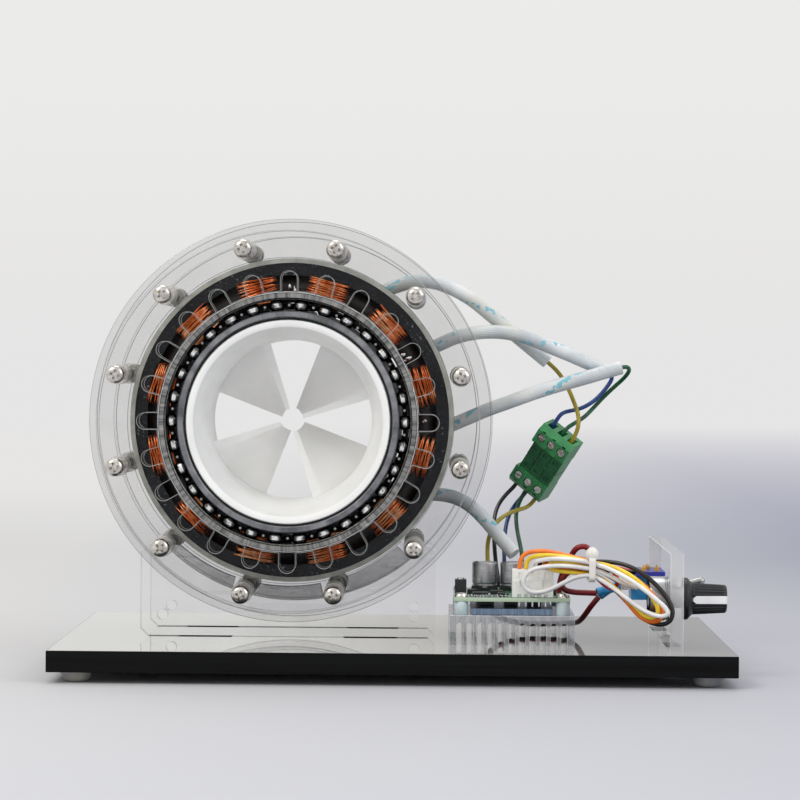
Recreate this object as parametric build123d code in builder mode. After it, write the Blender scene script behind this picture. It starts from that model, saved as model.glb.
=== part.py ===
"""A demonstration electric motor: a hollow-shaft motor in clear acrylic plates, beside its controller.

The origin is on the table under the middle of the base. +X points right, +Y to the back, +Z up.
All sizes are millimetres.
"""

from build123d import *
from math import cos, dist, radians, sin, tan
import os

os.makedirs("parts", exist_ok=True)

# ---- Base ----
BASE_LENGTH = 254.0
BASE_DEPTH = 150.0
BASE_THICKNESS = 8.0
FOOT_HEIGHT = 4.0
FOOT_RADIUS = 5.75
FOOT_TAPER = 8.0
FOOT_INSET = 10.0
BASE_TOP = FOOT_HEIGHT + BASE_THICKNESS
JOINT_CLEARANCE = 0.1

# ---- Motor: place and layers, front to back ----
MOTOR_X = -41.0
AXIS_HEIGHT = 83.4
MOTOR_Z = BASE_TOP + AXIS_HEIGHT
MOTOR_FRONT = -31.0
BEARING_WIDTH = 10.0
SPACER_LENGTH = 12.0
HOUSING_DEPTH = 25.0
STAND_THICKNESS = 5.0
FRONT_PLATE_BACK = MOTOR_FRONT + BEARING_WIDTH
HOUSING_FRONT = FRONT_PLATE_BACK + SPACER_LENGTH
HOUSING_BACK = HOUSING_FRONT + HOUSING_DEPTH
REAR_PLATE_FRONT = HOUSING_BACK + SPACER_LENGTH
MOTOR_BACK = REAR_PLATE_FRONT + BEARING_WIDTH

# ---- Clear plates and their fasteners ----
PLATE_RADIUS = 73.5
HOUSING_RADIUS = 78.75
HOUSING_BORE = 63.6
SCREW_CIRCLE = 68.5
SCREW_COUNT = 12
SCREW_START = 15.0
SCREW_RADIUS = 2.0
SCREW_CLEARANCE = 0.15
HEAD_RADIUS = 3.5
HEAD_RIM = 1.2
HEAD_CROWN = 1.4
NUT_RADIUS = 4.04
NUT_HEIGHT = 3.2
SCREW_TAIL = 1.4
SPACER_RADIUS = 4.0
SLOT_COUNT = 24
SLOT_WIDTH = 6.2
SLOT_REACH = 7.8

# ---- Stand plates ----
STAND_WIDTH = 114.0
STAND_HEIGHT = 35.3
STAND_CHAMFER = 3.0
STAND_ARC = 63.8
NOTCH_CLEARANCE = 0.2
TAB_WIDTH = 20.4
TAB_CENTRE = 32.0
STAND_HOLE_RADIUS = 2.2
STAND_HOLE_INSET = 8.4

# ---- Ball bearings ----
BEARING_RADIUS = 50.0
BEARING_BORE = 40.0
OUTER_RING_INSIDE = 46.9
INNER_RING_OUTSIDE = 42.6
BALL_CIRCLE = 44.75
BALL_COUNT = 30
BALL_RADIUS = 3.0
RACE_CLEARANCE = 0.3
SEAT_CLEARANCE = 0.02
CAGE_INSIDE = 44.0
CAGE_OUTSIDE = 45.5
CAGE_SHEET = 0.7
CAGE_POST = 1.6
BALL_SIDES = 8
BALL_HALF = 2.6
BALL_CHAMFER = 1.3

# ---- Rotor ----
TUBE_WALL = 0.8
END_RECESS = 0.5
FAN_LIP_RADIUS = 36.2
FAN_THROAT_RADIUS = 31.5
FAN_LIP_LENGTH = 5.0
THROAT_FRONT = -2.0
THROAT_BACK = 15.0
BLADE_COUNT = 4
BLADE_TWIST = 48.0
BLADE_START = 19.0
BLADE_STEPS = 4
BLADE_ROOT_RADIUS = 5.0
BLADE_ROOT_WIDTH = 1.7
BLADE_TIP_WIDTH = 3.6
BLADE_FRONT = -1.0
BLADE_BACK = 14.0
BLADE_WELD = 0.6
CORE_WALL = 1.5
MAGNET_COUNT = 14
MAGNET_THICKNESS = 2.0
MAGNET_GAP = 1.2
MAGNET_OVERHANG = 3.0

# ---- Stator ----
TOOTH_COUNT = 12
TOOTH_START = 15.0
TOOTH_WIDTH = 8.0
STATOR_BORE = 44.3
SHOE_DEPTH = 2.0
YOKE_INSIDE = 57.0
SLOT_OPENING = 4.0
STACK_FRONT = 2.0
STACK_BACK = 16.0
CAP_SHEET = 1.0
CAP_FLANGE_HEIGHT = 6.5
CAP_FLANGE_SHEET = 1.2
OUTER_FLANGE_WIDTH = 14.0
INNER_FLANGE_WIDTH = 9.0
CAP_RIM = 0.6
COIL_WIRE = 3.4
COIL_CLEARANCE = 0.3
COIL_LEGS = 4
COIL_SIDES = 4

# ---- Leads from the stator ----
LEAD_DEPTH = 22.5
ANCHOR_WIDTH = 8.0
ANCHOR_LENGTH = 5.0
SLEEVE_WIDTH = 5.5

# ---- Controller ----
RISER_X = 45.0
RISER_WIDTH = 47.5
RISER_FRONT = -41.0
RISER_DEPTH = 46.0
RISER_HEIGHT = 11.0
RISER_SLOT_COUNT = 11
RISER_SLOT_PITCH = 3.95
RISER_SLOT_WIDTH = 2.3
RISER_SLOT_HEIGHT = 8.2
RISER_CORNER = 2.0
RISER_TOP = BASE_TOP + RISER_HEIGHT
SPREADER_WIDTH = 31.0
SPREADER_DEPTH = 42.0
SPREADER_THICKNESS = 2.5
BOARD_SIZE = 44.0
BOARD_THICKNESS = 1.6
BOARD_GAP = 5.2
BOARD_Y = -18.0
BOARD_HOLE_SPACING = 38.6
BOARD_HOLE_RADIUS = 1.6
BOARD_BOTTOM = RISER_TOP + BOARD_GAP
BOARD_TOP = BOARD_BOTTOM + BOARD_THICKNESS
BOARD_SPACER_RADIUS = 2.7
BOARD_SCREW_RADIUS = 1.4
BOARD_SCREW_HEAD = 2.6
BOARD_SCREW_HEAD_HEIGHT = 1.6
CAN_RADIUS = 4.95
CAN_HEIGHT = 9.8
CAN_BASE = 10.3
CAN_BASE_HEIGHT = 1.2
CAN_Y = -6.4
CAN_X = (35.2, 46.2)
HEADER_X = 52.8
HEADER_Y = -35.6
HEADER_LENGTH = 15.6
HEADER_DEPTH = 5.75
HEADER_HEIGHT = 6.4
HEADER_WALL = 0.75
HEADER_FLOOR = 1.2
PLUG_CLEARANCE = 0.1
PLUG_TOP = 10.6
PIN_COUNT = 5
PIN_PITCH = 2.5
PIN_WIDTH = 0.64
PIN_BELOW = 2.2
PIN_ABOVE = 5.0

# ---- Control panel ----
PANEL_LEFT = 103.5
PANEL_THICKNESS = 5.0
PANEL_FRONT = -55.0
PANEL_LENGTH = 100.0
PANEL_HEIGHT = 36.0
PANEL_TAB_LENGTH = 16.0
PANEL_TAB_SPACING = 60.0
PANEL_RIGHT = PANEL_LEFT + PANEL_THICKNESS
POT_Y = -45.0
POT_Z = 30.5
POT_RADIUS = 8.3
POT_DEPTH = 7.5
BUSHING_RADIUS = 3.5
BUSHING_LENGTH = 8.0
SHAFT_RADIUS = 3.0
RUNNING_CLEARANCE = 0.06
NUT_THICKNESS = 1.6
POT_NUT_RADIUS = 5.8
KNOB_GAP = 0.5
KNOB_SKIRT_RADIUS = 7.9
KNOB_SKIRT_HEIGHT = 2.6
KNOB_BODY_RADIUS = 6.0
KNOB_TOP_RADIUS = 5.3
KNOB_LENGTH = 15.6
KNOB_RECESS_RADIUS = 4.4
KNOB_WALL = 2.4
KNOB_FLUTES = 18
FLUTE_RADIUS = 0.45
POINTER_WIDTH = 3.2
POINTER_PROUD = 0.25
TOGGLE_Y = -20.0
TOGGLE_Z = 33.0
TOGGLE_BODY = (12.5, 13.0, 9.6)
TOGGLE_BUSHING_RADIUS = 3.0
TOGGLE_BORE_RADIUS = 2.3
TOGGLE_BORE_DEPTH = 6.5
TOGGLE_PIVOT_RADIUS = 2.0
TOGGLE_PIVOT_DEPTH = 3.4
TOGGLE_NUT_RADIUS = 4.6
TOGGLE_TILT = 12.0
LEVER_REACH = 12.0
LEVER_ROOT_RADIUS = 1.05
LEVER_TIP_RADIUS = 1.5
LEVER_SIDES = 8
SWITCH_BOARD = (11.0, 24.0, 1.6)
LUG = (4.0, 0.6, 2.2)
LUG_SPACING = 4.7

# ---- Terminal pair, hanging on its wires; its face looks a little down and to the left ----
TERMINAL_CENTRE = (60.1, 34.8, 78.7)
TERMINAL_WIDTH_DIRECTION = (0.756, -0.283, -0.591)
TERMINAL_FACE_DIRECTION = (-0.465, -0.867, -0.179)
POLE_PITCH = 5.08
POLE_COUNT = 3
TERMINAL_WIDTH = 16.0
TERMINAL_THICKNESS = 11.0
TERMINAL_HALF_LENGTH = 14.7
HEAD_BLOCK_LENGTH = 8.4
NECK_STEP = 1.6
NECK_INSET = 1.1
TERMINAL_BEVEL = 2.4
ENTRY_WIDTH = 3.0
ENTRY_THICKNESS = 5.4
ENTRY_DEPTH = 2.5
CLAMP_SCREW_RADIUS = 1.75
CLAMP_SCREW_CLEARANCE = 0.15
CLAMP_SCREW_LENGTH = 3.0
CLAMP_SCREW_INSET = 5.0

# ---- Cords: widths, and the points of each route, chosen by hand ----
WIRE_WIDTH = 1.7
POWER_LEAD_WIDTH = 2.2
SHRINK_WIDTH = 3.4
SLEEVE_SIDES = 8
WIRE_SIDES = 4
ARC_SHARE = 0.45
TIE_CENTRE = (74.4, -46.1, 41.8)
TIE_WINDOW = (13.4, 7.4)
TIE_WIDTH = 2.4
TIE_STRAP = 1.2
TIE_CORNER = 2.4
TIE_HEAD = 4.8
TIE_HEAD_HEIGHT = 4.4

LEAD_ROUTES = {
    "lead_sleeve_top": [
        (-9.5, 22.5, 145.4), (-2.1, 22.5, 148.4), (6.3, 22.5, 151.1), (14.5, 22.6, 150.9), (22.5, 23.3, 148.0), (29.8, 25.2, 143.9),
        (36.5, 28.4, 138.5), (43.5, 31.6, 132.9), (51.6, 34.2, 126.4), (60.8, 34.8, 119.0),
    ],
    "lead_sleeve_upper": [
        (12.0, 22.5, 123.2), (19.0, 22.5, 126.9), (26.5, 22.6, 129.7), (35.0, 23.0, 131.0), (44.0, 23.8, 130.8), (52.5, 25.0, 128.6),
        (61.0, 26.7, 125.2), (69.5, 28.6, 121.9), (78.0, 31.0, 118.2), (84.0, 33.0, 116.0),
    ],
    "lead_sleeve_middle": [
        (18.9, 22.5, 92.1), (26.5, 22.5, 95.3), (36.0, 22.2, 99.6), (45.5, 21.9, 103.0), (55.0, 22.0, 106.6), (65.0, 22.5, 109.8),
        (75.5, 23.3, 112.7), (83.5, 24.2, 115.2), (90.0, 25.0, 117.0),
    ],
    "lead_sleeve_lower": [
        (11.3, 22.5, 65.9), (17.8, 22.5, 65.6), (24.0, 22.2, 64.4), (29.5, 21.0, 61.5), (34.2, 19.0, 57.3), (38.8, 16.5, 52.2),
        (43.3, 13.8, 46.9), (47.3, 11.5, 42.6),
    ],
}

MOTOR_WIRE_ROUTES = {
    "motor_wire_yellow": [
        (60.8, 34.8, 119.0), (63.6, 35.0, 116.7), (67.0, 34.3, 112.6), (69.6, 32.6, 107.6),
        (71.6, 30.6, 102.6), (73.1, 28.3, 98.2), (73.3, 25.9, 93.8), (71.8, 26.4, 89.1), (69.6, 28.3, 85.4),
    ],
    "motor_wire_blue": [
        (84.0, 33.0, 116.0), (86.2, 33.7, 115.2), (87.2, 34.2, 112.6), (85.4, 34.3, 109.6),
        (82.8, 34.1, 106.2), (79.2, 34.0, 102.8), (74.6, 34.0, 100.2), (69.8, 32.4, 99.3),
        (66.4, 29.4, 98.4), (64.0, 29.4, 94.9), (62.0, 31.2, 91.4),
    ],
    "motor_wire_green": [
        (90.0, 25.0, 117.0), (92.3, 25.3, 117.6), (93.8, 27.6, 116.0), (91.8, 31.2, 112.8),
        (87.8, 34.6, 109.0), (83.6, 36.4, 104.8), (79.6, 36.4, 100.4), (76.0, 34.0, 96.8),
        (72.2, 30.4, 94.6), (67.9, 27.8, 92.1), (65.8, 29.7, 88.4),
    ],
}

BOARD_WIRE_ROUTES = {
    "board_wire_black": [
        (50.6, 41.3, 72.0), (48.4, 43.2, 68.3), (45.0, 43.4, 65.0), (42.0, 40.5, 61.5), (40.2, 35.5, 57.8),
        (39.4, 29.0, 53.4), (39.4, 22.2, 48.6), (39.6, 16.2, 43.4), (40.0, 10.4, 38.4), (40.6, 5.2, 34.6),
        (41.0, 2.0, 32.2), (41.0, 1.6, 30.1),
    ],
    "board_wire_blue": [
        (54.9, 40.9, 69.2), (52.8, 42.8, 65.5), (49.6, 42.8, 62.0), (46.8, 39.8, 58.4), (45.0, 34.6, 54.6),
        (44.0, 28.4, 50.4), (43.5, 22.2, 45.6), (43.4, 16.2, 40.8), (43.4, 10.2, 36.8), (43.6, 5.0, 33.8),
        (43.8, 2.0, 32.0), (43.8, 1.6, 30.1),
    ],
    "board_wire_green": [
        (53.9, 38.9, 68.8), (51.8, 40.8, 65.1), (49.8, 39.4, 61.4), (48.6, 35.6, 57.4), (48.6, 30.2, 53.2),
        (49.2, 24.0, 48.8), (50.2, 17.8, 44.2), (50.6, 11.8, 39.6), (49.8, 6.2, 35.6), (49.0, 2.2, 32.6),
        (49.0, 1.6, 30.1),
    ],
    "board_wire_yellow": [
        (58.2, 38.4, 66.0), (56.1, 40.3, 62.3), (53.2, 37.0, 59.8), (50.0, 31.8, 59.2), (46.0, 27.4, 58.2),
        (41.6, 24.6, 55.8), (38.4, 22.4, 51.8), (36.8, 18.8, 46.9), (36.6, 13.6, 42.4), (36.8, 8.6, 38.2),
        (37.2, 4.6, 34.6), (37.4, 2.0, 32.0), (37.4, 1.6, 30.1),
    ],
}

HARNESS_ROUTES = {
    "harness_orange": [
        (47.8, -35.6, 40.5), (47.8, -35.6, 43.6), (50.0, -35.6, 46.6), (55.5, -36.8, 47.6),
        (61.5, -39.8, 47.0), (68.0, -43.0, 45.6), (74.4, -46.1, 44.0), (80.5, -49.1, 42.9),
        (86.5, -52.0, 40.9), (92.0, -54.7, 37.6), (96.8, -57.1, 33.0), (100.4, -58.8, 27.8),
        (99.9, -58.6, 23.6), (96.2, -56.8, 22.4), (92.0, -54.7, 24.4), (88.4, -52.9, 28.6),
        (84.5, -51.0, 33.2), (79.8, -48.7, 37.2), (74.4, -46.1, 39.6), (68.5, -43.2, 40.4),
        (63.0, -40.5, 41.3), (59.4, -38.7, 41.5), (57.0, -37.6, 42.2), (56.8, -37.5, 44.5),
        (59.0, -38.5, 45.2), (63.6, -40.8, 44.4), (69.0, -43.4, 43.0), (74.4, -46.1, 41.8),
        (79.2, -46.4, 40.0), (83.6, -44.4, 37.2), (88.0, -41.8, 35.4), (91.65, -40.3, 34.7),
    ],
    "harness_yellow": [
        (50.3, -35.6, 40.5), (50.3, -35.6, 42.9), (52.2, -37.0, 45.2), (57.5, -40.1, 46.2),
        (63.2, -42.9, 45.9), (69.0, -45.7, 45.1), (74.4, -48.4, 44.0), (80.0, -51.1, 43.4),
        (86.0, -54.1, 41.4), (91.5, -56.8, 37.9), (96.0, -59.0, 32.8), (98.9, -60.4, 27.8),
        (97.6, -59.8, 24.3), (94.0, -58.0, 24.6), (90.6, -56.3, 27.8), (87.0, -54.6, 31.4),
        (83.4, -52.8, 34.6), (79.2, -50.7, 37.6), (74.4, -48.4, 39.6), (68.8, -45.6, 39.9),
        (64.2, -43.4, 40.2), (61.0, -41.8, 40.4), (58.9, -40.8, 41.2), (58.9, -40.8, 43.2),
        (61.2, -41.9, 43.6), (65.0, -43.8, 43.4), (69.4, -45.9, 42.8), (74.4, -48.4, 41.8),
        (79.2, -49.0, 40.2), (83.6, -48.9, 38.0), (88.0, -46.8, 35.6), (91.65, -45.0, 34.7),
    ],
    "harness_white": [
        (52.8, -35.6, 40.5), (52.8, -35.7, 42.4), (54.2, -38.6, 43.6), (57.6, -42.0, 44.7),
        (62.0, -44.6, 45.1), (68.0, -47.6, 45.0), (74.4, -50.7, 44.0), (80.4, -53.6, 42.3),
        (86.6, -56.7, 39.4), (92.6, -59.6, 35.6), (97.6, -62.1, 31.6), (101.2, -63.8, 28.6),
        (101.9, -64.2, 26.2), (99.4, -62.9, 25.2), (95.2, -60.9, 26.2), (90.8, -58.7, 28.6),
        (86.6, -56.7, 31.8), (82.8, -54.8, 34.6), (79.0, -52.9, 37.2), (74.4, -50.7, 39.6),
        (68.4, -47.7, 38.6), (63.0, -45.1, 36.2), (58.0, -42.7, 34.4), (53.5, -40.4, 33.6),
        (50.2, -40.2, 35.2), (49.8, -40.2, 38.6), (52.2, -40.2, 41.0), (57.4, -42.4, 42.2),
        (62.6, -44.9, 42.6), (68.4, -47.7, 42.4), (74.4, -50.7, 41.8), (79.2, -51.0, 40.2),
        (83.6, -51.6, 38.0), (88.0, -50.8, 35.6), (91.65, -49.7, 34.7),
    ],
    "harness_black": [
        (55.3, -35.6, 40.5), (55.3, -35.5, 42.4), (57.0, -34.9, 45.0), (62.0, -37.7, 46.0),
        (68.0, -40.7, 45.3), (74.4, -43.8, 44.0), (80.6, -46.8, 44.4), (87.0, -50.0, 43.6),
        (93.0, -52.9, 40.8), (98.5, -55.6, 36.2), (102.8, -57.7, 31.0), (104.5, -58.5, 26.2),
        (102.8, -57.7, 22.3), (98.5, -55.6, 21.4), (93.6, -53.2, 23.4), (89.0, -50.9, 28.0),
        (84.5, -48.7, 32.8), (79.5, -46.3, 36.9), (74.4, -43.8, 39.6), (70.4, -41.8, 39.9),
        (67.0, -40.2, 40.0), (64.4, -38.9, 40.3), (62.8, -38.1, 42.1), (64.6, -39.0, 43.5),
        (68.2, -40.7, 43.0), (71.4, -42.3, 42.4), (74.4, -43.8, 41.8), (77.2, -42.3, 40.8),
        (80.8, -39.2, 40.2), (84.6, -33.6, 40.2), (88.4, -28.6, 39.2), (92.0, -26.0, 38.6),
    ],
    "harness_red": [
        (57.8, -35.6, 40.5), (57.8, -35.5, 42.2), (60.0, -34.2, 44.2), (64.5, -36.6, 45.3),
        (69.5, -39.1, 45.1), (74.4, -41.5, 44.0), (78.6, -43.5, 43.2), (82.0, -45.2, 41.4),
        (84.3, -46.3, 38.5), (84.3, -46.3, 35.2), (82.2, -45.3, 33.7), (79.6, -44.0, 35.2),
        (77.2, -42.9, 37.6), (74.4, -41.5, 39.6), (71.4, -40.0, 39.7), (68.6, -38.6, 39.6),
        (66.6, -37.7, 40.4), (66.6, -37.7, 42.4), (68.6, -38.6, 43.0), (71.4, -40.0, 42.6),
        (74.4, -41.5, 41.8), (78.4, -38.6, 41.2), (82.6, -32.0, 41.0), (87.0, -25.6, 40.0),
        (90.0, -22.6, 38.9), (92.2, -22.0, 38.6),
    ],
}

POWER_LEAD_ROUTES = {
    "power_lead_front": [
        (77.6, -26.2, 30.6), (73.4, -27.0, 30.8), (68.6, -27.6, 31.0), (64.9, -27.6, 31.9),
        (63.9, -27.8, 35.2), (66.2, -28.6, 38.6), (70.2, -30.2, 40.2), (74.2, -31.0, 42.6),
        (75.8, -32.0, 46.2), (73.2, -32.6, 49.2), (69.6, -32.2, 48.6), (67.6, -30.4, 45.2),
        (66.6, -26.6, 42.0), (65.0, -22.6, 38.6), (64.0, -19.4, 34.6), (63.8, -18.2, 31.8),
        (63.8, -18.2, 29.9),
    ],
    "power_lead_rear": [
        (79.2, -17.4, 28.4), (76.6, -17.4, 25.4), (74.4, -12.4, 21.2), (72.7, -4.8, 17.8),
        (71.2, 3.8, 16.2), (66.0, 8.8, 15.4), (59.0, 10.4, 15.0), (51.4, 10.6, 15.0), (44.2, 10.4, 16.2),
        (38.2, 9.8, 19.4), (34.4, 8.8, 23.8), (33.2, 7.6, 27.4), (33.0, 5.8, 29.0), (33.0, 4.0, 29.0),
    ],
}

SHRINK_ROUTES = {
    "heat_shrink_front": [
        (86.6, -24.7, 33.0), (82.2, -25.2, 32.2), (78.0, -26.1, 30.9),
    ],
    "heat_shrink_rear": [
        (86.2, -15.4, 32.8), (83.2, -16.0, 31.6), (79.6, -17.3, 28.8),
    ],
}

MOTOR_AXIS = Axis((MOTOR_X, 0, MOTOR_Z), (0, 1, 0))


def motor_plane(depth):
    """A plane that faces the front, centred on the motor's axis; extruding by a minus amount goes back."""
    return Plane(origin=(MOTOR_X, depth, MOTOR_Z), x_dir=(1, 0, 0), z_dir=(0, -1, 0))


def section_plane():
    """A half section through the axis: local x is the radius and local y the depth."""
    return Plane(origin=(MOTOR_X, 0, MOTOR_Z), x_dir=(1, 0, 0), z_dir=(0, 0, 1))


def write(builder, label):
    """Labels a finished piece and writes it."""
    builder.part.label = label
    export_step(builder.part, f"parts/{label}.step")


def flat_ended_slot(length, width, ends):
    """A straight slot with its origin at the middle of its round end, drawn with a few flats."""
    Rectangle(length, width, align=(Align.MAX, Align.CENTER), mode=ends)
    RegularPolygon(width / 2, 8, major_radius=False, rotation=180 / 8, mode=ends)


def screw_places():
    return PolarLocations(SCREW_CIRCLE, SCREW_COUNT, start_angle=SCREW_START)


# ---- Base and stand ----
def make_base():
    slot_length = TAB_WIDTH + 2 * JOINT_CLEARANCE
    slot_width = STAND_THICKNESS + 2 * JOINT_CLEARANCE
    panel_middle = PANEL_FRONT + PANEL_LENGTH / 2
    panel_slot = PANEL_TAB_LENGTH + 2 * JOINT_CLEARANCE
    with BuildPart() as base_plate:
        with BuildSketch(Plane.XY.offset(FOOT_HEIGHT)):
            Rectangle(BASE_LENGTH, BASE_DEPTH)
            for front in (FRONT_PLATE_BACK, HOUSING_BACK):
                with Locations((MOTOR_X, front + STAND_THICKNESS / 2)):
                    with GridLocations(2 * TAB_CENTRE, 0, 2, 1):
                        Rectangle(slot_length, slot_width, mode=Mode.SUBTRACT)
            with Locations((PANEL_LEFT + PANEL_THICKNESS / 2, panel_middle)):
                with GridLocations(0, PANEL_TAB_SPACING, 1, 2):
                    Rectangle(PANEL_THICKNESS + 2 * JOINT_CLEARANCE, panel_slot, mode=Mode.SUBTRACT)
        extrude(amount=BASE_THICKNESS)
    write(base_plate, "base_plate")


def make_feet():
    with BuildPart() as rubber_feet:
        with BuildSketch(Plane.XY.offset(FOOT_HEIGHT)):
            with GridLocations(BASE_LENGTH - 2 * FOOT_INSET, BASE_DEPTH - 2 * FOOT_INSET, 2, 2):
                RegularPolygon(FOOT_RADIUS, 16)
        extrude(amount=-FOOT_HEIGHT, taper=FOOT_TAPER)
    write(rubber_feet, "rubber_feet")


def make_stand_plate(front, label):
    """A saddle: its arc clears the stator, and its notches hang on the lower spacers."""
    bottom = -AXIS_HEIGHT
    hole_x = STAND_WIDTH / 2 - STAND_HOLE_INSET
    hole_z = bottom + STAND_HOLE_INSET
    notch = SPACER_RADIUS + NOTCH_CLEARANCE
    throat = SCREW_CIRCLE - STAND_ARC + 2 * notch
    with BuildPart() as plate:
        with BuildSketch(motor_plane(front)) as outline:
            with Locations((0, bottom + STAND_HEIGHT / 2)):
                Rectangle(STAND_WIDTH, STAND_HEIGHT)
            chamfer(outline.vertices(), STAND_CHAMFER)
            with Locations((-TAB_CENTRE, bottom - BASE_THICKNESS / 2), (TAB_CENTRE, bottom - BASE_THICKNESS / 2)):
                Rectangle(TAB_WIDTH, BASE_THICKNESS)
            Circle(STAND_ARC, mode=Mode.SUBTRACT)
            with screw_places():
                RegularPolygon(notch, 12, major_radius=False, rotation=180 / 12, mode=Mode.SUBTRACT)
                Rectangle(throat, 2 * notch, align=(Align.MAX, Align.CENTER), mode=Mode.SUBTRACT)
            with Locations((-hole_x, hole_z), (hole_x, hole_z)):
                RegularPolygon(STAND_HOLE_RADIUS, 10, mode=Mode.SUBTRACT)
        extrude(amount=-STAND_THICKNESS)
    write(plate, label)


# ---- Clear plates, screws and spacers ----
def make_bearing_plate(front, label):
    """A disc with a bearing seat; U-slots round the seat let it spring a little when the bearing goes in."""
    slot_end = BEARING_RADIUS + SLOT_REACH - SLOT_WIDTH / 2
    with BuildPart() as plate:
        with BuildSketch(motor_plane(front)):
            Circle(PLATE_RADIUS)
            Circle(BEARING_RADIUS + SEAT_CLEARANCE, mode=Mode.SUBTRACT)
            with PolarLocations(slot_end, SLOT_COUNT):
                flat_ended_slot(BEARING_RADIUS / 2, SLOT_WIDTH, Mode.SUBTRACT)
            with screw_places():
                RegularPolygon(SCREW_RADIUS + SCREW_CLEARANCE, 8, mode=Mode.SUBTRACT)
        extrude(amount=-BEARING_WIDTH)
    write(plate, label)


def make_housing_ring():
    with BuildPart() as ring:
        with BuildSketch(motor_plane(HOUSING_FRONT)):
            Circle(HOUSING_RADIUS)
            Circle(HOUSING_BORE, mode=Mode.SUBTRACT)
            with screw_places():
                RegularPolygon(SCREW_RADIUS + SCREW_CLEARANCE, 8, mode=Mode.SUBTRACT)
        extrude(amount=-HOUSING_DEPTH)
    write(ring, "stator_housing_ring")


def make_spacers(front, label):
    with BuildPart() as spacers:
        with BuildSketch(motor_plane(front)):
            with screw_places():
                RegularPolygon(SPACER_RADIUS, 10)
            with screw_places():
                RegularPolygon(SCREW_RADIUS + SCREW_CLEARANCE, 8, mode=Mode.SUBTRACT)
        extrude(amount=-SPACER_LENGTH)
    write(spacers, label)


def make_screws():
    length = MOTOR_BACK - MOTOR_FRONT + NUT_HEIGHT + SCREW_TAIL
    with BuildPart() as screws:
        with BuildSketch(motor_plane(MOTOR_FRONT)):
            with screw_places():
                RegularPolygon(SCREW_RADIUS, 8)
        extrude(amount=-length)
        with BuildSketch(motor_plane(MOTOR_FRONT)):
            with screw_places():
                RegularPolygon(HEAD_RADIUS, 12)
        extrude(amount=HEAD_RIM)
        with BuildSketch(motor_plane(MOTOR_FRONT - HEAD_RIM)):
            with screw_places():
                RegularPolygon(HEAD_RADIUS, 12)
        extrude(amount=HEAD_CROWN, taper=40)
    write(screws, "housing_screws")


def make_nuts():
    with BuildPart() as nuts:
        with BuildSketch(motor_plane(MOTOR_BACK)):
            with screw_places():
                RegularPolygon(NUT_RADIUS, 6)
            with screw_places():
                RegularPolygon(SCREW_RADIUS + SEAT_CLEARANCE, 8, mode=Mode.SUBTRACT)
        extrude(amount=-NUT_HEIGHT)
    write(nuts, "housing_nuts")


# ---- Ball bearings ----
def make_bearing_ring(middle, inside, outside, label):
    """One ring of the bearing, with its ball groove."""
    with BuildPart() as ring:
        with BuildSketch(section_plane()):
            with Locations(((inside + outside) / 2, middle)):
                Rectangle(outside - inside, BEARING_WIDTH)
            with Locations((BALL_CIRCLE, middle)):
                RegularPolygon(BALL_RADIUS + RACE_CLEARANCE, 8, major_radius=False, mode=Mode.SUBTRACT)
        revolve(axis=MOTOR_AXIS)
    write(ring, label)


def make_balls(middle, label):
    """Balls drawn with a few flats each, to keep the file light."""
    with BuildPart() as balls:
        with BuildSketch(motor_plane(middle - BALL_HALF)):
            with PolarLocations(BALL_CIRCLE, BALL_COUNT):
                RegularPolygon(BALL_RADIUS, BALL_SIDES)
        extrude(amount=-2 * BALL_HALF)
        chamfer(balls.edges().filter_by(Axis.Y, reverse=True), BALL_CHAMFER)
    write(balls, label)


def make_cage(middle, label):
    """Two flat rings joined by a post between each pair of balls."""
    reach = BALL_RADIUS + RACE_CLEARANCE
    width = CAGE_OUTSIDE - CAGE_INSIDE
    with BuildPart() as cage:
        for front in (middle - reach - CAGE_SHEET, middle + reach):
            with BuildSketch(motor_plane(front)):
                Circle(CAGE_OUTSIDE)
                Circle(CAGE_INSIDE, mode=Mode.SUBTRACT)
            extrude(amount=-CAGE_SHEET)
        with BuildSketch(motor_plane(middle - reach)):
            with PolarLocations(CAGE_INSIDE + width / 2, BALL_COUNT, start_angle=180 / BALL_COUNT):
                Rectangle(width / 2, CAGE_POST)
        extrude(amount=-2 * reach)
    write(cage, label)


def make_bearings():
    for side, front in (("front", MOTOR_FRONT), ("rear", REAR_PLATE_FRONT)):
        middle = front + BEARING_WIDTH / 2
        make_bearing_ring(middle, OUTER_RING_INSIDE, BEARING_RADIUS, f"{side}_bearing_outer_ring")
        make_bearing_ring(middle, BEARING_BORE, INNER_RING_OUTSIDE, f"{side}_bearing_inner_ring")
        make_balls(middle, f"{side}_bearing_balls")
        make_cage(middle, f"{side}_bearing_cage")


# ---- Rotor ----
def make_ring(front, back, inside, outside, label):
    with BuildPart() as ring:
        with BuildSketch(motor_plane(front)):
            Circle(outside)
            Circle(inside, mode=Mode.SUBTRACT)
        extrude(amount=-(back - front))
    write(ring, label)


def blade_section(step):
    """A cut across one blade: narrow at the open middle, wide at the duct wall, turned as it goes back."""
    turn = radians(BLADE_START + BLADE_TWIST * step / (BLADE_STEPS - 1))
    tip = FAN_THROAT_RADIUS + BLADE_WELD
    corners = (
        (BLADE_ROOT_RADIUS, -BLADE_ROOT_WIDTH / 2),
        (tip, -BLADE_TIP_WIDTH / 2),
        (tip, BLADE_TIP_WIDTH / 2),
        (BLADE_ROOT_RADIUS, BLADE_ROOT_WIDTH / 2),
    )
    return [(x * cos(turn) - y * sin(turn), x * sin(turn) + y * cos(turn)) for x, y in corners]


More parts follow.
